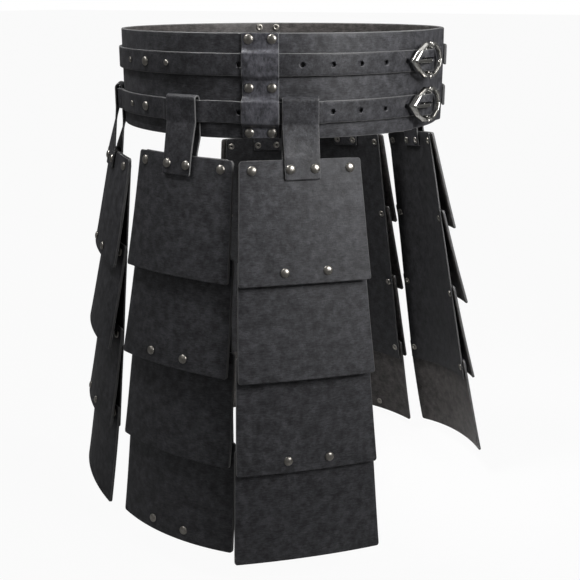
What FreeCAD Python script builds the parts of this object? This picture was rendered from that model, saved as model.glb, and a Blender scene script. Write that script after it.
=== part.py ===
import FreeCAD, Part
import math
import os

# Leather fauld: a wide waist belt closed by two buckled straps, with three hanging panels on each hip.
# Each panel is four overlapping lames riveted to a liner, and hangs from the lower strap by a folded loop.
# Frame: +Z up, the wearer faces -Y, the wearer's left is +X. The origin is the centre of the waist
# opening at half the belt's height. Angles run round the waist, 0 at the front, positive to the wearer's
# right, and give the direction the belt's outer face looks in. Offsets are measured outward from that face.
V = FreeCAD.Vector
UP = V(0, 0, 1)

# Plan of the belt's outer face: four tangent arcs on each side of the front-to-back line.
FRONT_RADIUS = 194.0
SIDE_RADIUS = 158.0
REAR_SIDE_RADIUS = 167.5
ARC_BREAKS = (0, 30, 90, 150, 180)

# Belt
BELT_HEIGHT = 95.0
BELT_THICKNESS = 3.5
BELT_TOP = BELT_HEIGHT / 2
LAP_DROP = 3.8
BELT_INNER_END = 17.0
LAP_STEP_START = -23.0
LAP_STEP_END = -18.0
BELT_END_TOP = 1.0
BELT_END_BOTTOM = 6.5
BELT_WEDGE = 10.0

# Straps
STRAP_WIDTH = 20.5
STRAP_THICKNESS = 3.0
UPPER_STRAP_Z = BELT_TOP - 28.0
LOWER_STRAP_Z = BELT_TOP - 70.5
STRAP_START = -24.5
STRAP_SEAT = 13.0
TAIL_END = -9.0
TAIL_LENGTH = 9.0
TAIL_TIP = 2.0
SNUG = 0.3
HOLE_PITCH = 28.5
HOLE_RADIUS = 2.3
HOLE_COUNT = 7

# Keepers: strips riveted over the straps
KEEPER_WIDTH = 33.5
KEEPER_THICKNESS = 2.0
KEEPER_RUN = 3.0
KEEPER_MARGIN = 5.0
RIGHT_KEEPER_ANGLE = 62.3
LEFT_KEEPER_ANGLE = -132.5
KEEPER_RIVET_SPREAD = 10.4
KEEPER_ROWS = (5.5, 48.5, 89.0)

# Hangers
HANGER_WIDTH = 34.0
HANGER_THICKNESS = 2.0
HANGER_RIVET_SPREAD = 11.7
HANGER_END = 10.0
HANGER_INNER_END = 7.5
HANGER_CLEAR = 1.5
STRAP_LIFT = 3.6
LIFT_SPAN = 6.9
LIFT_RUN = 2.6

# Panels
ROW_PITCH = 91.2
ROWS = 4
LAME_LENGTH = 114.8
LAME_THICKNESS = 2.7
TOP_MARGIN = 9.1
LINER_THICKNESS = 2.0
LINER_TAIL = 16.0
LINER_SIDE = 6.0
RIVET_HALF = 46.5
RIVET_GROWTH = 4.6
TOP_HALF = 58.0
TOP_GROWTH = 3.9
BOTTOM_HALF = 64.5
BOTTOM_GROWTH = 3.3
CORNER_RADIUS = 3.0
PLATE_MARGIN = 5.0
LAME_TILTS = (5.3, 6.2, 3.9, 2.0)
STUD_SPREAD = 20.5
STUD_RISE = 11.5

# Rivets
POST_RADIUS = 1.5
LEATHER_HOLE = 2.0
CAP_RADIUS = 4.5
CAP_HEIGHT = 2.2
SMALL_CAP_RADIUS = 2.8
RING_RADIUS = 4.0
RING_BORE = 2.0
RING_THICKNESS = 1.0
SMALL_RING_MARGIN = 0.6
CAP_RIM = 0.4
SEAT_GAP = 0.1
ROD_REACH = 20.0

# Rivets along the straps: angle and cap radius
UPPER_STRAP_RIVETS = ((117.5, SMALL_CAP_RADIUS), (107.1, CAP_RADIUS), (96.5, SMALL_CAP_RADIUS))
LOWER_STRAP_RIVETS = ((117.5, SMALL_CAP_RADIUS), (107.8, CAP_RADIUS))

# Buckles, drawn in a frame across the strap, up, and outward from the belt
BUCKLE_ANGLE = 3.1
BAR_OUT = 4.8
BAR_RADIUS = 1.6
BAR_HALF = 14.5
BAR_FIT = 0.05
FRAME_TIP = 30.0
FRAME_LOBE = 9.0
FRAME_LOBE_Z = 17.0
FRAME_CUSP_Z = 14.2
FRAME_BALL_RADIUS = 1.9
FRAME_BALL_Z = 15.6
FRAME_SHOULDER = 20.0
FRAME_SHOULDER_Z = 10.5
FRAME_BAND = 4.6
FRAME_BEVEL = 1.8
FRAME_DEPTH = 5.0
FRAME_BOW = 112.0
FRAME_CROWN = 8.2
FRAME_FOOT = 5.0
FRAME_FOOT_Z = 12.2
TIP_INSET = 1.6
SHOULDER_INSET = 0.5
CUSP_INSET = 0.7
LOBE_SWELL = 0.2
LOBE_MIDDLE = 0.45
CHAPE_RADIUS = 3.3
CHAPE_BORE = 1.8
CHAPE_END = -16.0
CHAPE_BASE = -2.5
CHAPE_CREST = -3.2
CHAPE_TOP = -0.2
CHAPE_LEAN = 20.0
CHAPE_SLOT = 7.0
CHAPE_RIVET_ANGLE = -13.0
CHAPE_HALF = 9.5
PRONG_HALF = 1.9
PRONG_SLOT_HALF = 3.2
SLOT_BEFORE = 9.6
SLOT_BEYOND = 12.0
PRONG_RADIUS = 3.2
PRONG_SEAT = 3.0
PRONG_REACH = 28.5
REACH = 60.0

# Side outline of the prong: its back from the bar, its tip, and its underside, across and outward
PRONG_OUTER = ((0.9, 1.4), (0.3, 5.2), (-3.0, 9.3), (-6.5, 10.7), (-12.0, 10.4))
PRONG_TIP = ((0.0, 2.2), (-1.2, 1.0), (0.8, 0.0))
PRONG_INNER = ((-11.0, 8.4), (-6.0, 8.3), (-2.9, 5.6), (-2.9, 1.2))

# Front end of a strap, from its tail over the bar: first angle, last angle, offset of the inner face
TONGUE_SPANS = (
    (TAIL_END, -6.6, 0.2),
    (-4.8, -2.4, 1.3),
    (1.9, 4.2, BAR_OUT + CHAPE_RADIUS + SNUG),
    (8.6, 12.0, 0.5),
)

# Panels: name, angle, drop of the first rivet row below the rim, stand-off there, yaw, tilt, roll, bow
# radius across the panel, and which lames carry studs
PANELS = (
    ("right_front", 49.5, 121.0, 12.0, -8.0, 5.8, 0.5, 420.0, (1, 3)),
    ("right_side", 89.6, 120.5, 11.0, 3.7, 4.1, 0.5, 190.0, (2, 4)),
    ("right_rear", 143.0, 135.0, 13.0, -14.0, 5.7, 3.0, 230.0, (1, 3)),
    ("left_front", -66.5, 134.0, 16.0, 12.5, 7.1, 7.0, 230.0, (1, 3)),
    ("left_side", -99.5, 142.0, 15.0, 15.0, 6.0, 2.0, 230.0, (2, 4)),
    ("left_rear", -132.5, 150.0, 11.0, 4.0, 5.6, 0.8, 230.0, (1, 3)),
)


def heading(angle):
    """Horizontal unit vector pointing outward at an angle round the waist."""
    turn = math.radians(angle)
    return V(-math.sin(turn), -math.cos(turn), 0)


def sideways(angle):
    """Horizontal unit vector to the right of somebody who faces the belt at an angle."""
    turn = math.radians(angle)
    return V(math.cos(turn), -math.sin(turn), 0)


def plan_arcs():
    """Arcs of the belt's outer face on the wearer's right: first angle, last angle, centre, radius."""
    radii = (FRONT_RADIUS, SIDE_RADIUS, REAR_SIDE_RADIUS, FRONT_RADIUS + SIDE_RADIUS - REAR_SIDE_RADIUS)
    cosines = [math.cos(math.radians(turn)) for turn in ARC_BREAKS]
    spans = [first - last for first, last in zip(cosines, cosines[1:])]
    depth = sum(radius * span for radius, span in zip(radii, spans))
    centre = V(0, FRONT_RADIUS - depth / 2, 0)
    arcs = []
    for index, radius in enumerate(radii):
        arcs.append((ARC_BREAKS[index], ARC_BREAKS[index + 1], centre, radius))
        if index + 1 < len(radii):
            centre = centre + heading(ARC_BREAKS[index + 1]) * (radius - radii[index + 1])
    return arcs


ARCS = plan_arcs()


def arc_at(angle):
    """Centre and radius of the plan arc that holds an angle, on either side."""
    turn = (angle + 180) % 360 - 180
    for low, high, centre, radius in ARCS:
        if low <= abs(turn) <= high:
            break
    side = 1 if turn >= 0 else -1
    return V(side * centre.x, centre.y, 0), radius


def plan_point(angle, offset, z=0.0):
    """Point at an angle round the waist and an offset from the belt's outer face."""
    centre, radius = arc_at(angle)
    return centre + heading(angle) * (radius + offset) + V(0, 0, z)


def travel(angle, distance):
    """Angle reached by going a distance along the belt's outer face in small steps."""
    steps = 200
    for _ in range(steps):
        angle += math.degrees(distance / steps / arc_at(angle)[1])
    return angle


def plan_curve(start, end, offset):
    """Edges along the belt at a constant offset, broken where the plan's arcs change."""
    breaks = [turn + 360 * lap for lap in (-1, 0, 1) for turn in (-150, -90, -30, 30, 90, 150)]
    stops = [start] + [turn for turn in sorted(breaks) if start + 0.01 < turn < end - 0.01] + [end]
    edges = []
    for low, high in zip(stops, stops[1:]):
        ends = (low + 0.0001, (low + high) / 2, high - 0.0001)
        points = [plan_point(angle, offset) for angle in ends]
        points[0] = plan_point(low, offset)
        points[2] = plan_point(high, offset)
        edges.append(Part.Arc(*points).toShape())
    return edges


def line(first, second):
    """Straight edge."""
    return Part.LineSegment(first, second).toShape()


def strip(spans, thickness, low, high):
    """Upright strip along the belt: spans of (start, end, inner offset) joined by straight runs."""
    faces = []
    for extra in (0, thickness):
        edges = []
        for index, (start, end, offset) in enumerate(spans):
            if index:
                _, before, level = spans[index - 1]
                joint = plan_point(before, level + extra)
                edges.append(line(joint, plan_point(start, offset + extra)))
            edges += plan_curve(start, end, offset + extra)
        faces.append(edges)
    first, last = spans[0], spans[-1]
    caps = [
        line(plan_point(first[0], first[2]), plan_point(first[0], first[2] + thickness)),
        line(plan_point(last[1], last[2]), plan_point(last[1], last[2] + thickness)),
    ]
    wire = Part.Wire(Part.__sortEdges__(faces[0] + faces[1] + caps))
    solid = Part.Face(wire).extrude(V(0, 0, high - low))
    solid.translate(V(0, 0, low))
    return solid


def frame_at(origin, across, outward):
    """Placement whose X is across, Y up along the piece and Z outward."""
    up = outward.cross(across)
    matrix = FreeCAD.Matrix(
        across.x, up.x, outward.x, origin.x,
        across.y, up.y, outward.y, origin.y,
        across.z, up.z, outward.z, origin.z,
        0, 0, 0, 1,
    )
    return FreeCAD.Placement(matrix)


def rod(base, direction, radius, back, front):
    """Round rod through a base point along a direction."""
    return Part.makeCylinder(radius, front - back, base + direction * back, direction)


def rivet(base, direction, cap_radius, front, back):
    """Domed cap, post and hollow-ended ring, seated at two distances along its axis from the base."""
    top = front + CAP_HEIGHT * cap_radius / CAP_RADIUS
    rim = front + CAP_RIM
    waist = math.sqrt(0.5)
    crown = V(cap_radius * waist, 0, rim + (top - rim) * waist)
    ring = min(RING_RADIUS, cap_radius + SMALL_RING_MARGIN)
    corners = [
        V(cap_radius, 0, rim),
        V(cap_radius, 0, front),
        V(POST_RADIUS, 0, front),
        V(POST_RADIUS, 0, back),
        V(ring, 0, back),
        V(ring, 0, back - RING_THICKNESS),
        V(RING_BORE, 0, back - RING_THICKNESS),
        V(RING_BORE, 0, back - RING_THICKNESS / 3),
        V(0, 0, back - RING_THICKNESS / 3),
        V(0, 0, top),
    ]
    edges = [line(a, b) for a, b in zip(corners, corners[1:])]
    edges.append(Part.Arc(V(0, 0, top), crown, V(cap_radius, 0, rim)).toShape())
    solid = Part.Face(Part.Wire(edges)).revolve(V(0, 0, 0), UP, 360)
    solid.Placement = FreeCAD.Placement(base, FreeCAD.Rotation(UP, direction))
    return solid


def belt_rivet_spots():
    """Rivets through the belt: angle, height, cap radius, seat of the cap, seat of the ring."""
    spots = []
    for centre, rows in ((RIGHT_KEEPER_ANGLE, KEEPER_ROWS), (LEFT_KEEPER_ANGLE, KEEPER_ROWS[:2])):
        swing = math.degrees(KEEPER_RIVET_SPREAD / arc_at(centre)[1])
        for drop in rows:
            for side in (-1, 1):
                angle = centre + side * swing
                spots.append((angle, BELT_TOP - drop, CAP_RADIUS, SNUG + KEEPER_THICKNESS, 0.0))
    for middle, rivets in ((UPPER_STRAP_Z, UPPER_STRAP_RIVETS), (LOWER_STRAP_Z, LOWER_STRAP_RIVETS)):
        for angle, radius in rivets:
            spots.append((angle, middle, radius, SNUG + STRAP_THICKNESS, 0.0))
        for side in (-1, 1):
            height = middle + side * CHAPE_HALF / 2
            spots.append((CHAPE_RIVET_ANGLE, height, SMALL_CAP_RADIUS, CHAPE_TOP, -LAP_DROP))
    return spots


def belt_holes():
    """Rods that clear every rivet through the belt."""
    rods = []
    for angle, height, _, _, _ in belt_rivet_spots():
        base = plan_point(angle, 0, height)
        rods.append(rod(base, heading(angle), POST_RADIUS + SEAT_GAP, -ROD_REACH, ROD_REACH))
    return rods


def make_wide_belt():
    """One strip round the waist whose outer end laps over its inner end at the front."""
    spans = [
        (math.floor(BELT_END_TOP), 360 + LAP_STEP_START, -BELT_THICKNESS),
        (360 + LAP_STEP_END, 360 + BELT_INNER_END, -BELT_THICKNESS - LAP_DROP),
    ]
    belt = strip(spans, BELT_THICKNESS, -BELT_TOP, BELT_TOP)
    top = plan_point(BELT_END_TOP, 0, BELT_TOP)
    bottom = plan_point(BELT_END_BOTTOM, 0, -BELT_TOP)
    beyond = sideways(BUCKLE_ANGLE) * REACH
    outer = heading(BUCKLE_ANGLE)
    corners = [top + (top - bottom), bottom + (bottom - top), bottom + (bottom - top) + beyond]
    corners.append(top + (top - bottom) + beyond)
    corners = [corner - outer * outer.dot(corner - top) for corner in corners]
    wedge = Part.Face(Part.makePolygon(corners + corners[:1])).extrude(outer * BELT_WEDGE)
    wedge.translate(outer * -(BELT_THICKNESS + LAP_DROP) / 2)
    return belt.cut([wedge] + belt_holes())


def prong_slot(middle):
    """Cutter through a strap at the bar, where the prong comes up and swings."""
    box = Part.makeBox(SLOT_BEFORE + SLOT_BEYOND, 2 * PRONG_SLOT_HALF, 2 * ROD_REACH)
    box.translate(V(-SLOT_BEYOND, -PRONG_SLOT_HALF, -ROD_REACH))
    box.Placement = buckle_placement(middle).multiply(box.Placement)
    return box


def tail_cutters(middle):
    """Two wedges that point a strap's tail."""
    tip = plan_point(TAIL_END, 0, middle)
    along = frame_at(tip, -sideways(TAIL_END), heading(TAIL_END))
    cutters = []
    for side in (-1, 1):
        shape = [
            V(-SNUG, TAIL_TIP * side, 0),
            V(-SNUG, STRAP_WIDTH * side, 0),
            V(TAIL_LENGTH, STRAP_WIDTH * side, 0),
            V(TAIL_LENGTH, STRAP_WIDTH / 2 * side, 0),
        ]
        cutter = Part.Face(Part.makePolygon(shape + shape[:1])).extrude(V(0, 0, 2 * TAIL_LENGTH))
        cutter.translate(V(0, 0, -TAIL_LENGTH))
        cutter.Placement = along.multiply(cutter.Placement)
        cutters.append(cutter)
    return cutters


def make_strap(middle, lifted):
    """Strap from beside the chape, round the back and through the buckle to its pointed tail."""
    spans = list(TONGUE_SPANS)
    here = STRAP_SEAT
    for start, end in lifted:
        spans.append((here, start - LIFT_RUN, SNUG))
        spans.append((start, end, STRAP_LIFT))
        here = end + LIFT_RUN
    spans.append((here, 360 + STRAP_START, SNUG))
    half = STRAP_WIDTH / 2
    strap = strip(spans, STRAP_THICKNESS, middle - half, middle + half)
    cutters = belt_holes()
    for index in range(1, HOLE_COUNT + 1):
        angle = travel(BUCKLE_ANGLE, HOLE_PITCH * index)
        base = plan_point(angle, 0, middle)
        cutters.append(rod(base, heading(angle), HOLE_RADIUS, -ROD_REACH, ROD_REACH))
    return strap.cut(cutters + tail_cutters(middle) + [prong_slot(middle)])


def make_keeper(angle, rows, lifts):
    """Strip over the straps: a profile of offsets down the belt, turned about its arc's centre."""
    half = STRAP_WIDTH / 2 + SNUG
    bottom = BELT_TOP - rows[-1] - KEEPER_MARGIN
    stations = [(BELT_TOP, SNUG)]
    for middle, lift in lifts:
        top = middle + half
        low = middle - half
        stations += [(top + KEEPER_RUN, SNUG), (top, lift), (low, lift), (low - KEEPER_RUN, SNUG)]
    stations.append((bottom, SNUG))
    inner = [V(offset, 0, z) for z, offset in stations]
    outer = [V(offset + KEEPER_THICKNESS, 0, z) for z, offset in stations]
    for index in range(1, len(outer) - 1):
        rise = stations[index][1] - stations[index - 1][1]
        fall = stations[index][1] - stations[index + 1][1]
        if rise > 0 or fall > 0:
            outer[index].z += KEEPER_THICKNESS / (2 if rise > 0 else -2)
    centre, radius = arc_at(angle)
    profile = [V(radius + point.x, 0, point.z) for point in inner + outer[::-1]]
    face = Part.Face(Part.makePolygon(profile + profile[:1]))
    span = math.degrees(KEEPER_WIDTH / (radius + SNUG))
    keeper = face.revolve(V(0, 0, 0), UP, span)
    start = math.degrees(math.atan2(-math.cos(math.radians(angle)), -math.sin(math.radians(angle))))
    keeper.rotate(V(0, 0, 0), UP, start - span / 2)
    keeper.translate(centre)
    return keeper.cut(belt_holes())


def make_belt_rivets():
    """All rivets that pass through the belt."""
    rivets = []
    for angle, height, radius, front, face in belt_rivet_spots():
        back = face - BELT_THICKNESS - SEAT_GAP
        rivets.append(rivet(plan_point(angle, 0, height), heading(angle), radius, front + SEAT_GAP, back))
    return Part.makeCompound(rivets)


def rounded(points, radius):
    """Closed outline through points with every corner rounded."""
    edges = []
    ends = []
    for index, corner in enumerate(points):
        before = (points[index - 1] - corner).normalize()
        after = (points[(index + 1) % len(points)] - corner).normalize()
        half = before.getAngle(after) / 2
        reach = radius / math.tan(half)
        middle = corner + (before + after).normalize() * (radius / math.sin(half) - radius)
        first = corner + before * reach
        last = corner + after * reach
        edges.append(Part.Arc(first, middle, last).toShape())
        ends.append((first, last))
    for index, (first, _) in enumerate(ends):
        edges.append(line(ends[index - 1][1], first))
    return Part.Wire(Part.__sortEdges__(edges))


def bowed_plate(outline, bow, inner, thickness):
    """Plate cut to an outline and bowed round an upright axis, its inner face at a height above zero."""
    box = outline.BoundBox
    half = math.asin((box.XLength / 2 + PLATE_MARGIN) / bow)
    rims = []
    for radius in (bow + inner, bow + inner + thickness):
        points = []
        for turn in (-half, 0, half):
            points.append(V(radius * math.sin(turn), box.YMin - 1, radius * math.cos(turn) - bow))
        rims.append((points, Part.Arc(*points).toShape()))
    sides = [line(rims[0][0][0], rims[1][0][0]), line(rims[0][0][2], rims[1][0][2])]
    band = Part.Face(Part.Wire(Part.__sortEdges__([rims[0][1], rims[1][1]] + sides)))
    band = band.extrude(V(0, box.YLength + 2, 0))
    face = Part.Face(outline)
    face.translate(V(0, 0, -REACH))
    return band.common(face.extrude(V(0, 0, 2 * REACH)))


def on_bow(across, y, bow):
    """Point and outward direction on the bowed face at height zero."""
    turn = math.asin(across / bow)
    direction = V(math.sin(turn), 0, math.cos(turn))
    return V(0, y, -bow) + direction * bow, direction


def lame_placement(row):
    """A lame's own frame inside its panel: hinged about its top edge, its lower edge swung outward."""
    tilt = LAME_TILTS[row]
    return FreeCAD.Placement(V(0, TOP_MARGIN - ROW_PITCH * row, 0), FreeCAD.Rotation(V(1, 0, 0), -tilt))


def corner_spots(row):
    """Half-spacing of a row's two corner rivets."""
    half = RIVET_HALF + RIVET_GROWTH * row
    return (-half, half)


def row_back(row, extra=0.0):
    """Seat of a row's rings behind the liner, in the lame's own frame."""
    slope = math.tan(math.radians(LAME_TILTS[row]))
    return -(TOP_MARGIN * slope + LINER_THICKNESS + RING_RADIUS * slope + SEAT_GAP + extra)


def bow_sag(bow):
    """How far a bowed face falls away at a flat hanger's edges."""
    return HANGER_WIDTH ** 2 / 8 / bow


def row_rods(row, bow):
    """Rods through a row's corner rivets, in the lame's own frame."""
    rods = []
    for across in corner_spots(row):
        base, direction = on_bow(across, -TOP_MARGIN, bow)
        rods.append(rod(base, direction, LEATHER_HOLE, -ROD_REACH, ROD_REACH))
    if row == 0:
        for side in (-1, 1):
            base = V(side * HANGER_RIVET_SPREAD, -TOP_MARGIN, 0)
            rods.append(rod(base, UP, LEATHER_HOLE, -ROD_REACH, ROD_REACH))
    return rods


def make_lame(row, bow, studs):
    """One lame in its own frame."""
    top = TOP_HALF + TOP_GROWTH * row
    bottom = BOTTOM_HALF + BOTTOM_GROWTH * row
    points = [V(-top, 0, 0), V(top, 0, 0), V(bottom, -LAME_LENGTH, 0), V(-bottom, -LAME_LENGTH, 0)]
    plate = bowed_plate(rounded(points, CORNER_RADIUS), bow, SNUG, LAME_THICKNESS)
    cutters = row_rods(row, bow)
    if row + 1 in studs:
        for side in (-1, 1):
            base, direction = on_bow(side * STUD_SPREAD, STUD_RISE - LAME_LENGTH, bow)
            cutters.append(rod(base, direction, LEATHER_HOLE, -ROD_REACH, ROD_REACH))
    return plate.cut(cutters)


def make_row_rivets(row, bow, studs):
    """A row's corner rivets, the studs of its lame, and on the first row the hanger's rivets."""
    rivets = []
    front = SNUG + LAME_THICKNESS + SEAT_GAP / 2
    for across in corner_spots(row):
        base, direction = on_bow(across, -TOP_MARGIN, bow)
        rivets.append(rivet(base, direction, CAP_RADIUS, front, row_back(row)))
    if row + 1 in studs:
        for side in (-1, 1):
            base, direction = on_bow(side * STUD_SPREAD, STUD_RISE - LAME_LENGTH, bow)
            rivets.append(rivet(base, direction, CAP_RADIUS, front, SNUG - SEAT_GAP))
    if row == 0:
        behind = row_back(row, bow_sag(bow) + SNUG + HANGER_THICKNESS + SEAT_GAP)
        for side in (-1, 1):
            base = V(side * HANGER_RIVET_SPREAD, -TOP_MARGIN, 0)
            rivets.append(rivet(base, UP, CAP_RADIUS, front + SNUG + HANGER_THICKNESS, behind))
    for solid in rivets:
        solid.Placement = lame_placement(row).multiply(solid.Placement)
    return rivets


def make_liner(bow):
    """Long tapered strip behind the lames, in the panel's frame."""
    last = RIVET_HALF + RIVET_GROWTH * (ROWS - 1) + LINER_SIDE
    rise = RIVET_GROWTH / ROW_PITCH
    top_half = RIVET_HALF + LINER_SIDE - rise * TOP_MARGIN
    bottom_half = last + rise * LINER_TAIL
    low = -ROW_PITCH * (ROWS - 1) - LINER_TAIL
    points = [V(-top_half, TOP_MARGIN, 0), V(top_half, TOP_MARGIN, 0)]
    points += [V(bottom_half, low, 0), V(-bottom_half, low, 0)]
    plate = bowed_plate(rounded(points, CORNER_RADIUS), bow, -LINER_THICKNESS, LINER_THICKNESS)
    cutters = []
    for row in range(ROWS):
        for cutter in row_rods(row, bow):
            cutter.Placement = lame_placement(row).multiply(cutter.Placement)
            cutters.append(cutter)
    return plate.cut(cutters)


def panel_axes(panel):
    """Origin at the first rivet row, across, down and outward directions of a panel."""
    _, angle, drop, stand, yaw, tilt, roll = panel[:7]
    facing = heading(angle + yaw)
    side = sideways(angle + yaw)
    lean = math.radians(tilt)
    twist = math.radians(roll)
    down = UP * -math.cos(lean) + facing * math.sin(lean)
    outward = facing * math.cos(lean) + UP * math.sin(lean)
    across = side * math.cos(twist) + down * math.sin(twist)
    origin = plan_point(angle, stand, BELT_TOP - drop)
    return origin, across, outward


def panel_placement(panel):
    """Placement of a panel's frame."""
    return frame_at(*panel_axes(panel))


def ribbon(sections, width, thickness):
    """Band lofted straight between cross-sections given as (centre, across, outward)."""
    wires = []
    for centre, across, outward in sections:
        side = across * (width / 2)
        rise = outward * (thickness / 2)
        corners = [centre - side - rise, centre + side - rise]
        corners += [centre + side + rise, centre - side + rise]
        wires.append(Part.makePolygon(corners + corners[:1]))
    return Part.makeLoft(wires, True, True)


def make_hanger(panel):
    """Loop of leather from in front of the first lame, over the lower strap, and down behind the liner."""
    angle = panel[1]
    bow = panel[7]
    place = panel_placement(panel)
    _, across, outward = panel_axes(panel)
    leaf = place.multiply(lame_placement(0))
    leaf_outward = leaf.Rotation.multVec(UP)
    half = HANGER_THICKNESS / 2
    over = SNUG + LAME_THICKNESS + SNUG + half
    under = -(LINER_THICKNESS + bow_sag(bow) + SNUG + half)
    out = heading(angle)
    side = sideways(angle)
    outer_offset = STRAP_LIFT + STRAP_THICKNESS + SNUG + half
    inner_offset = SNUG + half
    top = LOWER_STRAP_Z + STRAP_WIDTH / 2 + SNUG
    bottom = LOWER_STRAP_Z - STRAP_WIDTH / 2 - SNUG
    sections = [
        (leaf.multVec(V(0, -TOP_MARGIN - HANGER_END, over)), across, leaf_outward),
        (leaf.multVec(V(0, HANGER_CLEAR, over)), across, leaf_outward),
        (plan_point(angle, outer_offset, bottom), side, out),
    ]
    turn_radius = (outer_offset - inner_offset) / 2
    middle = plan_point(angle, (outer_offset + inner_offset) / 2, top)
    for degrees in range(0, 181, 30):
        lean = math.radians(degrees)
        direction = out * math.cos(lean) + UP * math.sin(lean)
        sections.append((middle + direction * turn_radius, side, direction))
    sections.append((plan_point(angle, inner_offset, -BELT_TOP - SNUG), side, out * -1))
    sections.append((place.multVec(V(0, TOP_MARGIN + HANGER_CLEAR, under)), across, outward * -1))
    sections.append((place.multVec(V(0, -HANGER_INNER_END, under)), across, outward * -1))
    hanger = ribbon(sections, HANGER_WIDTH, HANGER_THICKNESS)
    cutters = []
    for spread in (-HANGER_RIVET_SPREAD, HANGER_RIVET_SPREAD):
        cutter = rod(V(spread, -TOP_MARGIN, 0), UP, LEATHER_HOLE, -ROD_REACH, ROD_REACH)
        cutter.Placement = leaf.multiply(cutter.Placement)
        cutters.append(cutter)
    return hanger.cut(cutters)


def buckle_placement(middle):
    """Frame of a buckle: origin on the belt's outer face at the bar."""
    return frame_at(plan_point(BUCKLE_ANGLE, 0, middle), sideways(BUCKLE_ANGLE), heading(BUCKLE_ANGLE))


def frame_outline(inset, height):
    """Pointed oval with two lobes and a cusp at the top and at the bottom."""
    tip = FRAME_TIP - inset * TIP_INSET
    shoulder = FRAME_SHOULDER - inset * SHOULDER_INSET
    shoulder_z = FRAME_SHOULDER_Z - inset * CUSP_INSET
    lobe_z = FRAME_LOBE_Z - inset
    cusp_z = FRAME_CUSP_Z - inset * CUSP_INSET
    swell_z = lobe_z + (cusp_z - lobe_z) * LOBE_SWELL
    edges = []
    for flip_x in (-1, 1):
        for flip_y in (-1, 1):
            start = V(flip_x * tip, 0, height)
            first = V(flip_x * shoulder, flip_y * shoulder_z, height)
            second = V(flip_x * FRAME_LOBE, flip_y * lobe_z, height)
            swell = V(flip_x * FRAME_LOBE * LOBE_MIDDLE, flip_y * swell_z, height)
            last = V(0, flip_y * cusp_z, height)
            edges.append(line(start, first))
            edges.append(line(first, second))
            edges.append(Part.Arc(second, swell, last).toShape())
    return Part.Wire(Part.__sortEdges__(edges))


def bowed_slab(depth):
    """Slab as deep as the frame, bowed outward at its middle."""
    axis = FRAME_CROWN - FRAME_BOW
    outer = Part.makeCylinder(FRAME_BOW + depth, 2 * REACH, V(0, -REACH, axis), V(0, 1, 0))
    inner = Part.makeCylinder(FRAME_BOW, 2 * REACH, V(0, -REACH, axis), V(0, 1, 0))
    front = Part.makeBox(2 * REACH, 2 * REACH, REACH)
    front.translate(V(-REACH, -REACH, -ROD_REACH))
    return outer.cut(inner).common(front)


def make_buckle_frame(middle):
    """Cast frame: a bevelled band bowed over the strap, a centre bar and two balls in the cusps."""
    high = FRAME_CROWN + FRAME_DEPTH + SNUG
    body = Part.makeLoft([frame_outline(0, 0), frame_outline(FRAME_BEVEL, high)], True)
    body = body.common(bowed_slab(FRAME_DEPTH))
    window = Part.Face(frame_outline(FRAME_BAND, -REACH)).extrude(V(0, 0, 2 * REACH))
    body = body.cut(window)
    bar = Part.makeCylinder(BAR_RADIUS, 2 * BAR_HALF, V(0, -BAR_HALF, BAR_OUT), V(0, 1, 0))
    pieces = [body, bar]
    for side in (-1, 1):
        foot = Part.makeCylinder(BAR_RADIUS, FRAME_FOOT, V(0, side * FRAME_FOOT_Z, BAR_OUT), UP)
        ball = Part.makeSphere(FRAME_BALL_RADIUS, V(0, side * FRAME_BALL_Z, FRAME_CROWN + FRAME_DEPTH / 2))
        pieces += [foot, ball]
    solid = pieces[0].fuse(pieces[1:]).removeSplitter()
    solid.Placement = buckle_placement(middle).multiply(solid.Placement)
    return solid


def make_prong(middle):
    """Prong: a ring round the bar and a bent arm over the strap to the frame's tip."""
    seat = FRAME_TIP - PRONG_SEAT
    rest = FRAME_CROWN + FRAME_DEPTH - seat ** 2 / 2 / (FRAME_BOW + FRAME_DEPTH) + SNUG
    ring = Part.makeCylinder(PRONG_RADIUS, 2 * PRONG_HALF, V(0, -PRONG_HALF, BAR_OUT), V(0, 1, 0))
    corners = [V(across, -PRONG_HALF, BAR_OUT + out) for across, out in PRONG_OUTER]
    corners += [V(across - PRONG_REACH, -PRONG_HALF, rest + out) for across, out in PRONG_TIP]
    corners += [V(across, -PRONG_HALF, BAR_OUT + out) for across, out in PRONG_INNER]
    face = Part.Face(Part.makePolygon(corners + corners[:1]))
    arm = face.extrude(V(0, 2 * PRONG_HALF, 0))
    start = V(0, -2 * PRONG_HALF, BAR_OUT)
    bore = Part.makeCylinder(BAR_RADIUS + BAR_FIT, 4 * PRONG_HALF, start, V(0, 1, 0))
    solid = ring.fuse(arm).cut(bore).removeSplitter()
    solid.Placement = buckle_placement(middle).multiply(solid.Placement)
    return solid


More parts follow.
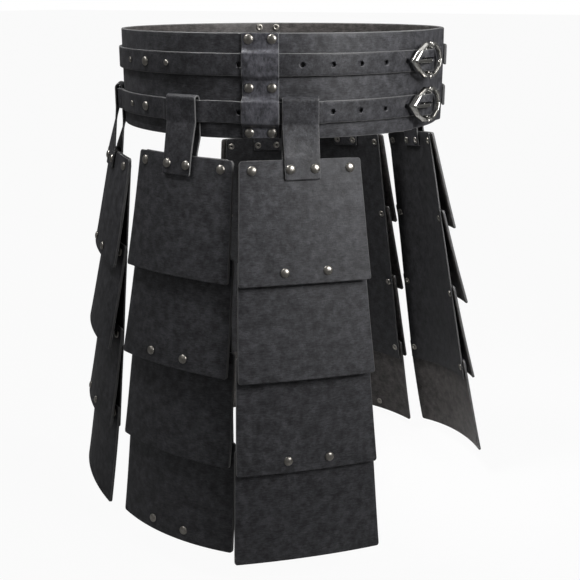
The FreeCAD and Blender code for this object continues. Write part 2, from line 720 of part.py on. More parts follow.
def make_chape(middle):
    """Folded leather that holds the buckle: a loop round the bar and a doubled tail riveted to the belt."""
    out = heading(BUCKLE_ANGLE)
    side = sideways(BUCKLE_ANGLE)
    centre = plan_point(BUCKLE_ANGLE, BAR_OUT)
    lean = math.radians(CHAPE_LEAN)
    low = -LAP_DROP + SNUG
    foot = centre + (side * math.sin(lean) - out * math.cos(lean)) * CHAPE_RADIUS
    head = centre + (side * math.sin(lean) + out * math.cos(lean)) * CHAPE_RADIUS
    edges = plan_curve(CHAPE_END, CHAPE_BASE, low)
    edges.append(line(plan_point(CHAPE_BASE, low), foot))
    edges.append(Part.Arc(foot, centre - side * CHAPE_RADIUS, head).toShape())
    edges.append(line(head, plan_point(CHAPE_CREST, CHAPE_TOP)))
    edges += plan_curve(CHAPE_END, CHAPE_CREST, CHAPE_TOP)
    edges.append(line(plan_point(CHAPE_END, low), plan_point(CHAPE_END, CHAPE_TOP)))
    leather = Part.Face(Part.Wire(Part.__sortEdges__(edges))).extrude(V(0, 0, 2 * CHAPE_HALF))
    leather.translate(V(0, 0, middle - CHAPE_HALF))
    bore = Part.makeCylinder(CHAPE_BORE, 2 * REACH, centre + V(0, 0, -REACH), UP)
    slot = Part.makeBox(2 * CHAPE_SLOT, 2 * PRONG_SLOT_HALF, 2 * ROD_REACH)
    slot.translate(V(-CHAPE_SLOT, -PRONG_SLOT_HALF, -ROD_REACH))
    slot.Placement = buckle_placement(middle).multiply(slot.Placement)
    return leather.cut([bore, slot] + belt_holes())


def lower_lifts():
    """Spans of the lower strap that ride over the hangers' inner layers."""
    spans = []
    for panel in PANELS:
        centre = panel[1] % 360
        reach = LIFT_SPAN * SIDE_RADIUS / arc_at(centre)[1]
        end = centre + reach
        if abs(panel[1] - RIGHT_KEEPER_ANGLE) < 3 * LIFT_SPAN:
            end = RIGHT_KEEPER_ANGLE + LIFT_SPAN
        spans.append((centre - reach, end))
    return sorted(spans)


def save(name, shape):
    """Write one node."""
    shape.exportStep("parts/%s.step" % name)


def main():
    """Build and write every node."""
    os.makedirs("parts", exist_ok=True)
    strap_lift = SNUG + STRAP_THICKNESS + SNUG
    raised_lift = STRAP_LIFT + STRAP_THICKNESS + SNUG
    save("wide_belt", make_wide_belt())
    save("upper_strap", make_strap(UPPER_STRAP_Z, []))
    save("lower_strap", make_strap(LOWER_STRAP_Z, lower_lifts()))
    both = [(UPPER_STRAP_Z, strap_lift), (LOWER_STRAP_Z, raised_lift)]
    save("right_keeper", make_keeper(RIGHT_KEEPER_ANGLE, KEEPER_ROWS, both))
    save("left_keeper", make_keeper(LEFT_KEEPER_ANGLE, KEEPER_ROWS[:2], both[:1]))
    save("belt_rivets", make_belt_rivets())
    for name, middle in (("upper", UPPER_STRAP_Z), ("lower", LOWER_STRAP_Z)):
        save(name + "_buckle_frame", make_buckle_frame(middle))
        save(name + "_buckle_prong", make_prong(middle))
        save(name + "_chape", make_chape(middle))
    for panel in PANELS:
        name, bow, studs = panel[0], panel[7], panel[8]
        place = panel_placement(panel)
        save(name + "_hanger", make_hanger(panel))
        liner = make_liner(bow)
        liner.Placement = place.multiply(liner.Placement)
        save(name + "_liner", liner)
        for row in range(ROWS):
            lame = make_lame(row, bow, studs)
            lame.Placement = place.multiply(lame_placement(row)).multiply(lame.Placement)
            save("%s_lame_%d" % (name, row + 1), lame)
        for label, rows in (("upper", (0, 1)), ("lower", (2, 3))):
            rivets = []
            for row in rows:
                for solid in make_row_rivets(row, bow, studs):
                    solid.Placement = place.multiply(solid.Placement)
                    rivets.append(solid)
            save("%s_%s_rivets" % (name, label), Part.makeCompound(rivets))


main()
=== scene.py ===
import math

import bpy
import numpy as np
from bpy.props import FloatProperty, FloatVectorProperty, PointerProperty
from mathutils import Matrix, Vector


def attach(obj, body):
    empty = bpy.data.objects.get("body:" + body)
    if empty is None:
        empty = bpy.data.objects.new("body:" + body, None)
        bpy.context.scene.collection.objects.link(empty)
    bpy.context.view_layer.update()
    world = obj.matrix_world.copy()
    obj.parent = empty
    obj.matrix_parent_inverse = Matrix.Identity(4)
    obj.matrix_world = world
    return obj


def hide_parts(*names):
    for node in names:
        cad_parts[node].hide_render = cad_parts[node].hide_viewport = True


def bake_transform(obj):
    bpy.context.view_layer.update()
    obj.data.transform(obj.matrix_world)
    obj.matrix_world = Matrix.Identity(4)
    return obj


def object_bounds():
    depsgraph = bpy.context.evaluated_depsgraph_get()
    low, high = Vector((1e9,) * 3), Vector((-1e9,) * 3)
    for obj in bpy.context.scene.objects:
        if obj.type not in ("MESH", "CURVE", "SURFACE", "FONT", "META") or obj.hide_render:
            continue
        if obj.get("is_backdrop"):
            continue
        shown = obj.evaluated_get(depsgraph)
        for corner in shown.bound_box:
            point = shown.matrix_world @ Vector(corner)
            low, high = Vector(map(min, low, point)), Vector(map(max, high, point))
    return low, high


bl_info = {
    "name": "Leather Fauld",
    "version": (1, 0, 0),
    "blender": (4, 5, 0),
    "location": "View3D > Sidebar > Fauld",
    "description": "Builds the leather, rivets and buckles of a leather waist and hip armour",
    "category": "Object",
}

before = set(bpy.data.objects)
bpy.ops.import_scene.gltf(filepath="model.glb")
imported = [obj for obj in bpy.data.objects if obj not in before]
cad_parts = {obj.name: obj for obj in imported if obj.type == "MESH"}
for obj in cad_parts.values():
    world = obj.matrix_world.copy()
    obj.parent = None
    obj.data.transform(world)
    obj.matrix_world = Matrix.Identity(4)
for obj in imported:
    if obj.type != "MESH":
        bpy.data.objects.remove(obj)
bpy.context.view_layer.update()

# Every size below is in millimetres, and every mesh is turned to metres when it is made. The wearer
# faces -Y and the wearer's left is +X. Angles run round the waist from the front, positive to the
# wearer's right. Offsets are measured outward from the belt's outer face.
MM = 0.001

# Plan of the belt's outer face: tangent arcs on each side of the front-to-back line
ARC_RADII = np.array([194.0, 158.0, 167.5, 184.5])
ARC_TURNS = np.array([30.0, 90.0, 150.0])

# Belt: its inner end steps in between two angles and runs on under the slanted outer end
BELT_TOP = 47.5
BELT_THICKNESS = 3.5
BELT_TIP_TOP = 1.0
BELT_TIP_BOTTOM = 6.5
TIP_FADE = 60.0
LAP_STEP = (-23.0, -18.0)
LAP_DROP = 3.8
BELT_INNER_END = 17.0
BELT_WAVE = 0.5
BELT_WAVES = 5
BELT_WAVE_START = 40.0

# Straps: their tails run under the chape, over the bar, and land on the belt
STRAP_WIDTH = 20.5
STRAP_THICKNESS = 3.0
STRAP_START = -24.5
STRAP_ROWS = {"upper": BELT_TOP - 28.0, "lower": BELT_TOP - 70.5}
TAIL_END = -9.0
TAIL_LENGTH = 9.0
TAIL_HALF = 3.0
SNUG = 0.3
TAIL_LEVELS = ((TAIL_END, 0.2), (-6.6, 0.2), (-4.8, 1.3), (-2.4, 1.3))
BAR_SPAN = (1.9, 4.2)
LANDING_LEVELS = ((8.6, 0.5), (12.0, 0.5), (13.0, SNUG))
HOLE_PITCH = 28.5
HOLE_RADIUS = 2.3
HOLE_COUNT = 7
PUNCH_ENDS = (-9.0, 14.0)

# Keepers: rows of rivets as drops below the rim, and the runs on which they rise over a strap
KEEPER_WIDTH = 33.5
KEEPER_THICKNESS = 2.0
KEEPER_RIVET_SPREAD = 10.4
KEEPER_ROWS = (5.5, 48.5, 89.0)
KEEPER_MARGIN = 5.0
KEEPER_RUN = 4.5
KEEPER_INSET = 0.8
KEEPER_CROWN = 0.35
RIGHT_KEEPER = 62.3
LEFT_KEEPER = -132.5

# Hangers, and how the lower strap rides over them: its lift, and the lift's half span and run in degrees
HANGER_WIDTH = 34.0
HANGER_THICKNESS = 2.0
HANGER_RIVET_SPREAD = 11.7
HANGER_END = 10.0
HANGER_INNER_END = 7.5
HANGER_RISE = 1.5
HANGER_BEND_OUT = 5.0
STRAP_LIFT = 3.6
LIFT_SPAN = 6.9
LIFT_RUN = 2.6

# Rows of a panel: they count from the first lame, and half-widths grow from row to row. A lame's
# lower edge curls by shares that are even, widen to the corners and sway across.
ROW_PITCH = 91.2
ROWS = 4
LAME_LENGTH = 114.8
TOP_MARGIN = 9.1
LINER_THICKNESS = 2.0
LINER_TAIL = 16.0
LINER_SIDE = 6.0
RIVET_HALF = 46.5
RIVET_GROWTH = 4.6
TOP_HALF = 58.0
TOP_GROWTH = 3.9
BOTTOM_HALF = 64.5
BOTTOM_GROWTH = 3.3
LAME_TILTS = (5.3, 6.2, 3.9, 2.0)
STUD_SPREAD = 20.5
STUD_RISE = 11.5
STUD_LIFT = 0.6
CURL_SHARES = (0.35, 0.65, 0.35)
PLATE_WAVE = 0.35
PLATE_WAVE_RUN = 23.0
PLATE_PHASES = (2.3, 1.7)
LINER_WAVE = 0.25
LINER_WAVE_RUNS = (31.0, 40.0)
LINER_BEND_RUN = 26.0

# Rivets: the cap, the post, the ring behind with the section of its bore as radius and height, and
# angle and cap radius of those at the straps' fixed ends
CAP_RADIUS = 4.5
SMALL_CAP_RADIUS = 2.8
CAP_RIM = 0.45
POST_RADIUS = 1.5
RING_RADIUS = 4.0
RING_MARGIN = 0.6
RING_BORE = ((2.5, -1.0), (1.9, -0.85), (1.35, -0.4), (1.2, 1.2), (0, 1.2))
SEAT_GAP = 0.1
RIVET_FACES = 24
STRAP_END_RIVETS = {
    "upper": ((117.5, SMALL_CAP_RADIUS), (107.1, CAP_RADIUS), (96.5, SMALL_CAP_RADIUS)),
    "lower": ((117.5, SMALL_CAP_RADIUS), (107.8, CAP_RADIUS)),
}

# Buckles: corners of a quarter of the outline, how far each draws in per millimetre of inset, the
# band's section as inset and height, and the leather chape that holds the bar
BUCKLE_ANGLE = 3.1
BAR_OUT = 4.8
BAR_RADIUS = 1.6
BAR_HALF = 14.5
BAR_NOSE = 1.2
BAR_CHAMFER = 0.5
FRAME_CROWN = 8.2
FRAME_BOW = 112.0
FRAME_DEPTH = 5.0
FRAME_CORNERS = np.array([(30.0, 0.0), (20.0, 10.5), (9.6, 16.6), (4.6, 18.6), (0.0, 14.2)])
FRAME_STEPS = 9
FRAME_DRAWS = np.array([(1.6, 0.0), (0.5, 0.7), (0.0, 1.0), (0.0, 1.0), (0.0, 0.7)])
FRAME_SECTION = ((0.0, 0.3), (0.25, 0.0), (4.1, 0.0), (4.5, 0.4), (4.5, 2.6), (4.1, 3.9), (3.2, 5.0),
                 (2.6, 5.1), (1.5, 4.3), (0.5, 2.6))
BALL_RADIUS = 1.9
BALL_SEAT = 15.6
FOOT_SEAT = 12.2
FOOT_LENGTH = 5.0
CHAPE_RADIUS = 3.3
CHAPE_HALF = 9.5
CHAPE_END = -16.0
CHAPE_TOP = -0.2
CHAPE_BENDS = (-2.5, -3.2)
CHAPE_PLY = 1.5
CHAPE_RIVET_ANGLE = -13.0

# Prong: its path as distances across the strap and beyond the bar, then its tip above the frame
PRONG_HALF = 1.9
PRONG_THICKNESS = 2.3
PRONG_ROOT = ((-0.9, 2.2), (-1.0, 5.2), (-3.0, 8.3), (-6.6, 9.5), (-12.0, 9.3))
PRONG_TIP = ((-27.6, 1.3), (-29.0, 0.9))
PRONG_REACH = 27.0
PRONG_RING = ((1.65, -1.7), (1.65, 1.7), (2.9, 1.9), (3.2, 1.6), (3.2, -1.6), (2.9, -1.9))
PRONG_SLOT_HALF = 3.2
STRAP_SLOT = (9.4, 21.0)
CHAPE_SLOT = (7.0, 14.0)
CUT_FLOOR = -6.0
CUT_DEPTH = 26.0

# Panels: name, angle, drop of the first rivet row below the rim, stand-off there, yaw, tilt, roll, bow
# radius across the panel, and which lames carry studs
PANELS = (
    ("right_front", 49.5, 121.0, 12.0, -8.0, 5.8, 0.5, 420.0, (1, 3)),
    ("right_side", 89.6, 120.5, 11.0, 3.7, 4.1, 0.5, 190.0, (2, 4)),
    ("right_rear", 143.0, 135.0, 13.0, -14.0, 5.7, 3.0, 230.0, (1, 3)),
    ("left_front", -66.5, 134.0, 16.0, 12.5, 7.1, 7.0, 230.0, (1, 3)),
    ("left_side", -99.5, 142.0, 15.0, 15.0, 6.0, 2.0, 230.0, (2, 4)),
    ("left_rear", -132.5, 150.0, 11.0, 4.0, 5.6, 0.8, 230.0, (1, 3)),
)

# Widths of the marks in the leathers and the metals. Pores are about 0.2 mm and polishing scratches
# are finer still, so both are drawn coarse enough to show.
CLOUD_SIZE = 9.0
STREAK_SIZE = 2.4
PORE_SIZE = 0.9
CRACK_SIZE = 5.0
CRACK_BEND_SIZE = 6.0
SMUDGE_SIZE = 3.0
SCRATCH_SIZE = 1.2

# Camera: its turn and pitch in radians and where it stands, from the photograph's perspective
CAMERA_TURN = 1.002
CAMERA_PITCH = 0.288
CAMERA_SIDE = 6.38
CAMERA_BACK = 1092.5
CAMERA_HEIGHT = 79.5
CAMERA_LENS = 61.72

# Soft lamps: name, metres to the camera's right, towards it and up, side of the square, power, the
# place aimed at as metres to the right and up, and spread. A small spread leaves the rest dim.
LAMPS = (
    ("key", 0.8, 0.7, 0.5, 0.6, 3.3, (0.06, 0.14), 1.22),
    ("fill", -1.2, 1.0, 0.8, 1.0, 0.6, (-0.1, 0.15), 1.9),
    ("overhead", 0.2, -0.1, 1.1, 0.9, 1.6, (0.0, 0.0), 2.6),
    ("inner", -0.45, 0.05, 0.9, 0.4, 0.9, (0.19, -0.26), 0.6),
)
FLOOR_HALF = 30000.0
FLOOR_GAP = 1.0
FLOOR_GLOW = 0.95
SURROUND_LEVEL = 0.14
UP = np.array([0, 0, 1.0])


def linear(code):
    """An sRGB hex colour as linear light, with alpha 1."""
    parts = [int(code[k:k + 2], 16) / 255 for k in (1, 3, 5)]
    return [p / 12.92 if p <= 0.04045 else ((p + 0.055) / 1.055) ** 2.4 for p in parts] + [1.0]


def colour(name, description, code):
    """A colour setting whose default is an sRGB hex colour."""
    return FloatVectorProperty(
        name=name, description=description, default=linear(code), size=4, subtype="COLOR", min=0, max=1
    )


def length(name, description, millimetres):
    """A length setting whose default is given in millimetres."""
    return FloatProperty(
        name=name, description=description, default=millimetres * MM, min=0.0001, max=0.05, unit="LENGTH"
    )


class FauldSizes(bpy.types.PropertyGroup):
    """Sizes that change how heavy and how worn the armour looks."""

    lame_thickness: length("Lame thickness", "Thickness of the hanging plates of leather", 2.7)
    lame_curl: length("Lame curl", "How far a plate's lower edge has curled outward with wear", 1.6)
    edge_round: length("Edge rounding", "Radius that burnishing left on cut edges", 0.75)
    corner_round: length("Corner rounding", "Radius of the plates' cut corners", 3.0)
    cap_height: length("Cap height", "Height of a rivet's domed cap", 2.3)


class FauldColours(bpy.types.PropertyGroup):
    """Colours of the leathers, the metals and the floor."""

    plate: colour("Plate leather", "Dyed and waxed face of the plates and the belt", "#37373a")
    strap: colour("Strap leather", "Dyed face of the straps, hangers and chapes", "#333336")
    # Painted sheen: the keepers' face is lighter than the strap leather's to stand in for the sheen on their
    # wet-formed bulges.
    keeper: colour("Keeper leather", "Dyed face of the keepers", "#4a4a4f")
    liner: colour("Liner leather", "Smooth dyed leather of the liners", "#29292b")
    scuff: colour("Scuffs", "Pale rubs and cracks in the dye", "#6d6d70")
    flesh: colour("Flesh side", "Undressed inner side of the plates", "#454241")
    # Painted highlight: the cut edges get this paler colour to stand in for the thin line of light that
    # their rounded edges catch.
    cut: colour("Cut edge", "Burnished cut edges", "#6a6a6a")
    nickel: colour("Nickel plate", "Rivet caps and rings", "#aaa69f")
    steel: colour("Polished casting", "Buckle frames and prongs", "#d5d3ce")
    floor: colour("Floor", "Plain pale floor", "#c8c8c8")


def size(name):
    """A size setting in millimetres."""
    return getattr(bpy.context.scene.fauld_sizes, name) / MM


def tint(name):
    """A colour setting as a plain list."""
    return list(getattr(bpy.context.scene.fauld_colours, name))


def unit(vectors):
    """Vectors scaled to length 1."""
    return vectors / np.linalg.norm(vectors, axis=-1, keepdims=True)


def heading(turn):
    """Horizontal unit vectors pointing outward: (-sin, -cos, 0) of the angle."""
    angle = np.radians(turn)
    return np.stack([-np.sin(angle), -np.cos(angle), np.zeros_like(angle)], -1)


def sideways(turn):
    """Horizontal unit vectors to the right of somebody who faces the belt: (cos, -sin, 0)."""
    angle = np.radians(turn)
    return np.stack([np.cos(angle), -np.sin(angle), np.zeros_like(angle)], -1)


def arc_centres():
    """Centres of the plan's arcs on the wearer's right, each on the line that two arcs share."""
    stops = np.cos(np.radians(np.concatenate([[0.0], ARC_TURNS, [180.0]])))
    depth = np.sum(ARC_RADII * (stops[:-1] - stops[1:]))
    start = np.array([0.0, ARC_RADII[0] - depth / 2, 0.0])
    steps = heading(ARC_TURNS) * (ARC_RADII[:-1] - ARC_RADII[1:])[:, None]
    return np.vstack([start, start + np.cumsum(steps, axis=0)])


ARC_CENTRES = arc_centres()


def arc_of(turn):
    """Which arc holds an angle, and 1 or -1 for the wearer's right or left."""
    wrapped = (np.asarray(turn, float) + 180) % 360 - 180
    return np.searchsorted(ARC_TURNS, np.abs(wrapped)), np.where(wrapped >= 0, 1.0, -1.0)


def radius_at(turn):
    """Radius of the plan's arc at an angle."""
    return ARC_RADII[arc_of(turn)[0]]


def plan(turn, offset, z):
    """Points at angles round the waist: arc centre plus heading times radius and offset."""
    turn, offset, z = np.broadcast_arrays(*(np.asarray(value, float) for value in (turn, offset, z)))
    arc, side = arc_of(turn)
    points = heading(turn) * (ARC_RADII[arc] + offset)[..., None]
    points[..., 0] += side * ARC_CENTRES[arc, 0]
    points[..., 1] += ARC_CENTRES[arc, 1]
    points[..., 2] = z
    return points


def belt_walk(start, end):
    """Lengths along the belt's outer face, and the angles where they are reached."""
    turns = np.linspace(start, end, 3000)
    steps = radius_at((turns[1:] + turns[:-1]) / 2) * np.radians(np.diff(turns))
    return np.concatenate([[0.0], np.cumsum(steps)]), turns


def eased(x, knots, values):
    """Values at knots joined by smooth steps: between two knots the share f becomes f*f*(3-2f)."""
    knots, values = np.asarray(knots, float), np.asarray(values, float)
    k = np.clip(np.searchsorted(knots, x, side="right") - 1, 0, len(knots) - 2)
    share = np.clip((x - knots[k]) / (knots[k + 1] - knots[k]), 0, 1)
    share = share * share * (3 - 2 * share)
    return values[k] + (values[k + 1] - values[k]) * share


def smoothed(points, window):
    """Moving average along a path, with the two ends held by mirroring the path about them."""
    before = 2 * points[:1] - points[window:0:-1]
    after = 2 * points[-1:] - points[-2:-window - 2:-1]
    padded = np.concatenate([before, points, after])
    total = np.cumsum(np.concatenate([np.zeros_like(padded[:1]), padded]), axis=0)
    span = 2 * window + 1
    return (total[span:] - total[:-span]) / span


def lengths_along(points):
    """Distance along a path at each of its points."""
    return np.concatenate([[0.0], np.cumsum(np.linalg.norm(np.diff(points, axis=0), axis=1))])


def between(v, reach, values):
    """Rows of values, one at each reach, interpolated at distances v."""
    return np.stack([np.interp(v, reach, column) for column in values.T], -1)


def evenly(count, window, corners, *others):
    """A path's corners, and other values at them, taken at even distances and then smoothed."""
    steps = lengths_along(corners)
    fine = np.linspace(0, steps[-1], count)
    return [smoothed(between(fine, steps, values), window) for values in (corners,) + others]


def spanned(origin, axes, distances):
    """Points from an origin, three axes and the distances along them."""
    distances = np.broadcast_arrays(*(np.asarray(value, float) for value in distances))
    return origin + sum(value[..., None] * axis for value, axis in zip(distances, axes))


def enclosed(points, faces):
    """Signed volume of closed faces: a sixth of the sum of triple products over triangle fans."""
    volume = 0.0
    for group in faces:
        for k in range(1, group.shape[1] - 1):
            a, b, c = (points[group[:, column]] for column in (0, k, k + 1))
            volume += np.sum(a * np.cross(b, c)) / 6
    return volume


def outward_faces(points, faces):
    """The faces, turned round if they look inward."""
    return faces if enclosed(points, faces) >= 0 else [group[:, ::-1] for group in faces]


def mesh_piece(name, points, faces, fields=None):
    """An object from points in millimetres and arrays of faces, and named values at its points."""
    faces = [face for group in outward_faces(points, faces) for face in group.tolist()]
    mesh = bpy.data.meshes.new(name)
    mesh.from_pydata((points * MM).tolist(), [], faces)
    for key, values in (fields or {}).items():
        layer = mesh.attributes.new(key, "FLOAT", "POINT")
        layer.data.foreach_set("value", np.asarray(values, np.float32))
    mesh.shade_smooth()
    mesh.update()
    piece = bpy.data.objects.new(name, mesh)
    bpy.context.scene.collection.objects.link(piece)
    return piece


def joined(parts):
    """One set of points and faces from several closed shells."""
    points, faces, start = [], [], 0
    for part_points, part_faces in parts:
        points.append(part_points)
        faces += [group + start for group in outward_faces(part_points, part_faces)]
        start += len(part_points)
    return np.concatenate(points), faces


def stations(run, edge, corner, rows):
    """Distances along a strip, and how far its faces and its sides draw in there. Near each end the
    faces draw in on a quarter circle of the edge radius and the sides on one of the corner radius."""
    turn = np.linspace(0, np.pi / 2, 5)
    near = np.unique(np.round(np.concatenate([edge * (1 - np.cos(turn)), corner * (1 - np.cos(turn))]), 4))
    middle = np.linspace(corner, run - corner, rows)[1:-1]
    along = np.concatenate([near, middle, run - near[::-1]])
    reach = np.minimum(along, run - along)
    left = edge - np.minimum(reach, edge)
    side = corner - np.minimum(reach, corner)
    return along, edge - np.sqrt(edge ** 2 - left ** 2), corner - np.sqrt(corner ** 2 - side ** 2)


def slab(run, half, thickness, place, edge, corner, rows, columns):
    """A strip with rounded edges. Its closed cross-section, a rounded rectangle of across u and height h, is
    carried over distances v, and place(u, v, h) gives the points. half is a number or a function of v.
    Points of the edges, where the leather paints a highlight, and of the inner side are marked for the
    leather."""
    along, inset, pinch = stations(run, edge, corner, rows)
    across = np.linspace(-1, 1, columns)
    turn = np.linspace(np.pi / 2, -np.pi / 2, 7)[1:-1]
    count = len(turn)
    rim = thickness / 2 + (thickness / 2 - edge) * np.sign(np.round(np.sin(turn), 6)) + edge * np.sin(turn)
    flat = np.concatenate([across, np.ones(count), -across, -np.ones(count)])
    bulge = np.concatenate([np.zeros(columns), edge * np.cos(turn), np.zeros(columns), -edge * np.cos(turn)])
    level = np.concatenate([np.full(columns, thickness), rim, np.zeros(columns), rim[::-1]])
    width = np.broadcast_to(half(along) if callable(half) else half, along.shape) - edge - pinch
    u = flat * width[:, None] + bulge
    v = np.broadcast_to(along[:, None], u.shape)
    h = np.clip(level, inset[:, None], thickness - inset[:, None])
    points = place(u, v, h).reshape(-1, 3)
    ring, last = len(flat), (len(along) - 1) * len(flat)
    top = np.arange(columns - 1)
    below = 2 * columns + count - 1 - top
    cap = np.stack([top, top + 1, below - 1, below], -1)
    sides = np.array([
        np.arange(columns - 1, columns + count + 1),
        np.concatenate([np.arange(2 * columns + count - 1, ring), [0]]),
    ])
    faces = [quads(len(along), ring), cap[:, ::-1], cap + last, sides[:, ::-1], sides + last]
    # Mask of the cut edges, along which the leather paints a highlight
    cut = np.maximum(np.abs(bulge) > 0, (inset > 0.3 * edge)[:, None]).astype(float)
    flesh = np.broadcast_to(level < thickness / 2, u.shape).astype(float)
    return points, faces, {"cut_edge": cut.ravel(), "flesh_side": flesh.ravel()}


def lathe(profile, bases, axes, segments):
    """Shapes turned about axes: a profile of radius and height from pole to pole, carried round a
    circle, and repeated at every base."""
    profile = np.asarray(profile, float)
    angle = np.arange(segments) * 2 * np.pi / segments
    parts = []
    for base, axis in zip(np.atleast_2d(bases), np.atleast_2d(axes)):
        first = unit(np.cross(axis, (0.31, 0.17, 0.94)))
        second = np.cross(axis, first)
        radial = first * np.cos(angle)[:, None] + second * np.sin(angle)[:, None]
        rings = base + profile[1:-1, 1, None, None] * axis + profile[1:-1, 0, None, None] * radial
        poles = base + profile[[0, -1], 1][:, None] * axis
        points = np.concatenate([rings.reshape(-1, 3), poles])
        count, j = len(profile) - 2, np.arange(segments)
        after, last = (j + 1) % segments, (count - 1) * segments
        first_cap = np.stack([np.full(segments, count * segments), after, j], -1)
        last_cap = np.stack([np.full(segments, count * segments + 1), last + j, last + after], -1)
        parts.append((points, [quads(count, segments), first_cap, last_cap]))
    return joined(parts)


def rod(radius, low, high):
    """Profile of a plain rod between two heights."""
    return [(0, low), (radius, low), (radius, high), (0, high)]


def quads(rings, count, wrap=False):
    """Faces between neighbouring rings of points, and on request from the last ring to the first."""
    i, j = np.arange(rings if wrap else rings - 1)[:, None], np.arange(count)
    near, far = i * count, (i + 1) % rings * count
    after = (j + 1) % count
    return np.stack([near + j, near + after, far + after, far + j], -1).reshape(-1, 4)


def ring_band(points):
    """Faces of a grid of points that closes both round the ring and round its section."""
    return points.reshape(-1, 3), [quads(*points.shape[:2], wrap=True)]


def path_place(centres, across, outward, thickness):
    """A place function along a path: centre plus across times u plus outward times h, at distance v."""
    reach = lengths_along(centres)

    def place(u, v, h):
        spot, side, out = (between(v, reach, values) for values in (centres, across, outward))
        return spot + side * u[..., None] + out * (h - thickness / 2)[..., None]

    return place, reach[-1]


def upright_place(centres, thickness):
    """A place function along a level path, with u upright and h square to the path."""
    along = unit(np.gradient(centres, axis=0))
    upright = np.broadcast_to(UP, centres.shape)
    return path_place(centres, upright, unit(np.cross(along, upright)), thickness)


def pierced(piece, cutters):
    """The piece with closed shells cut out of it."""
    tool = mesh_piece(piece.name + "_tool", *joined(cutters))
    modifier = piece.modifiers.new("Holes", "BOOLEAN")
    modifier.operation = "DIFFERENCE"
    modifier.solver = "MANIFOLD"
    modifier.object = tool
    bpy.context.view_layer.update()
    cut = bpy.data.meshes.new_from_object(piece.evaluated_get(bpy.context.evaluated_depsgraph_get()))
    piece.modifiers.clear()
    piece.data = cut
    bpy.data.objects.remove(tool)
    return piece


def add(tree, kind, settings=None, inputs=None, out=0):
    """An output of a new node with its settings and its inputs, each a value or another socket."""
    node = tree.nodes.new("ShaderNode" + kind)
    for key, value in (settings or {}).items():
        setattr(node, key, value)
    for key, value in (inputs or {}).items():
        if isinstance(value, bpy.types.NodeSocket):
            tree.links.new(value, node.inputs[key])
        else:
            node.inputs[key].default_value = value
    return node.outputs[out]


def per_metre(millimetres):
    """Texture scale at which one feature is so many millimetres wide."""
    return 1 / (millimetres * MM)


def new_material(name):
    """A material, and for a new one its node tree and its surface shader."""
    material = bpy.data.materials.get(name)
    if material:
        return material, None, None
    material = bpy.data.materials.new(name)
    material.use_nodes = True
    return material, material.node_tree, material.node_tree.nodes["Principled BSDF"]


def surface(tree, shader, tone, gloss, normal):
    """Link a surface's colour, roughness and normal."""
    for key, value in (("Base Color", tone), ("Roughness", gloss), ("Normal", normal)):
        tree.links.new(value, shader.inputs[key])


def leather(name, face, flesh, streak, rough, grain=1.0):
    """Vegetable-tanned leather, dyed black and waxed. The dye sits unevenly, in clouds about 9 mm across and
    in fine streaks, pale rubs and cracks show through it, the burnished cut edges carry a painted highlight,
    a paler colour for the line of light that they catch, and the inner side is duller. Streaks run along the
    axes with the smallest scale."""
    material, tree, shader = new_material(name)
    if not tree:
        return material
    place = add(tree, "TexCoord", out="Object")
    stretched = add(tree, "Mapping", inputs={"Vector": place, "Scale": streak})
    cloud = add(tree, "TexNoise", inputs={
        "Vector": place, "Scale": per_metre(CLOUD_SIZE), "Detail": 5.0, "Roughness": 0.65})
    fine = add(tree, "TexNoise", inputs={
        "Vector": stretched, "Scale": per_metre(STREAK_SIZE), "Detail": 6.0, "Roughness": 0.68,
        "Distortion": 0.4})
    pores = add(tree, "TexVoronoi", inputs={
        "Vector": place, "Scale": per_metre(PORE_SIZE), "Randomness": 1.0})
    bend = add(tree, "TexNoise", inputs={
        "Vector": place, "Scale": per_metre(CRACK_BEND_SIZE), "Detail": 3.0}, out="Color")
    warped = add(tree, "MixRGB", {"blend_type": "ADD"}, {
        "Fac": 0.02, "Color1": place, "Color2": bend})
    cracks = add(tree, "TexVoronoi", {"feature": "DISTANCE_TO_EDGE"}, {
        "Vector": warped, "Scale": per_metre(CRACK_SIZE)})
    line = add(tree, "MapRange", inputs={
        "Value": cracks, "From Min": 0.0, "From Max": 0.05, "To Min": 1.0, "To Max": 0.0})
    where = add(tree, "MapRange", inputs={
        "Value": cloud, "From Min": 0.52, "From Max": 0.68, "To Min": 0.0, "To Max": 0.375})
    marks = add(tree, "Math", {"operation": "MULTIPLY"}, {0: line, 1: where})
    tone = add(tree, "Math", {"operation": "MULTIPLY"}, {0: cloud, 1: fine})
    shade = add(tree, "MapRange", inputs={
        "Value": tone, "From Min": 0.15, "From Max": 0.36, "To Min": 0.45, "To Max": 1.7})
    dyed, inner = (add(tree, "MixRGB", {"blend_type": "MULTIPLY"}, {
        "Fac": 1.0, "Color1": tint(name), "Color2": shade}) for name in (face, flesh))
    worn = add(tree, "MixRGB", inputs={"Fac": marks, "Color1": dyed, "Color2": tint("scuff")})
    side = add(tree, "Attribute", {"attribute_name": "flesh_side"}, out="Fac")
    sided = add(tree, "MixRGB", inputs={"Fac": side, "Color1": worn, "Color2": inner})
    # Painted highlight: the cut edges are mixed towards the pale cut-edge colour, for the line of light that
    # they catch.
    rim = add(tree, "Attribute", {"attribute_name": "cut_edge"}, out="Fac")
    share = add(tree, "Math", {"operation": "MULTIPLY"}, {0: rim, 1: 0.8})
    with_painted_edge_highlight = add(tree, "MixRGB", inputs={
        "Fac": share, "Color1": sided, "Color2": tint("cut")})
    gloss = add(tree, "MapRange", inputs={
        "Value": fine, "From Min": 0.3, "From Max": 0.7, "To Min": rough - 0.08, "To Max": rough + 0.12})
    relief = add(tree, "Math", {"operation": "MULTIPLY_ADD"}, {0: pores, 1: 0.25, 2: fine})
    bump = add(tree, "Bump", inputs={
        "Strength": 0.22 * grain, "Distance": 0.5 * MM, "Height": relief})
    swell = add(tree, "Bump", inputs={
        "Strength": 0.35, "Distance": 1.2 * MM, "Height": cloud, "Normal": bump})
    surface(tree, shader, with_painted_edge_highlight, gloss, swell)
    shader.inputs["Specular IOR Level"].default_value = 0.35
    return material


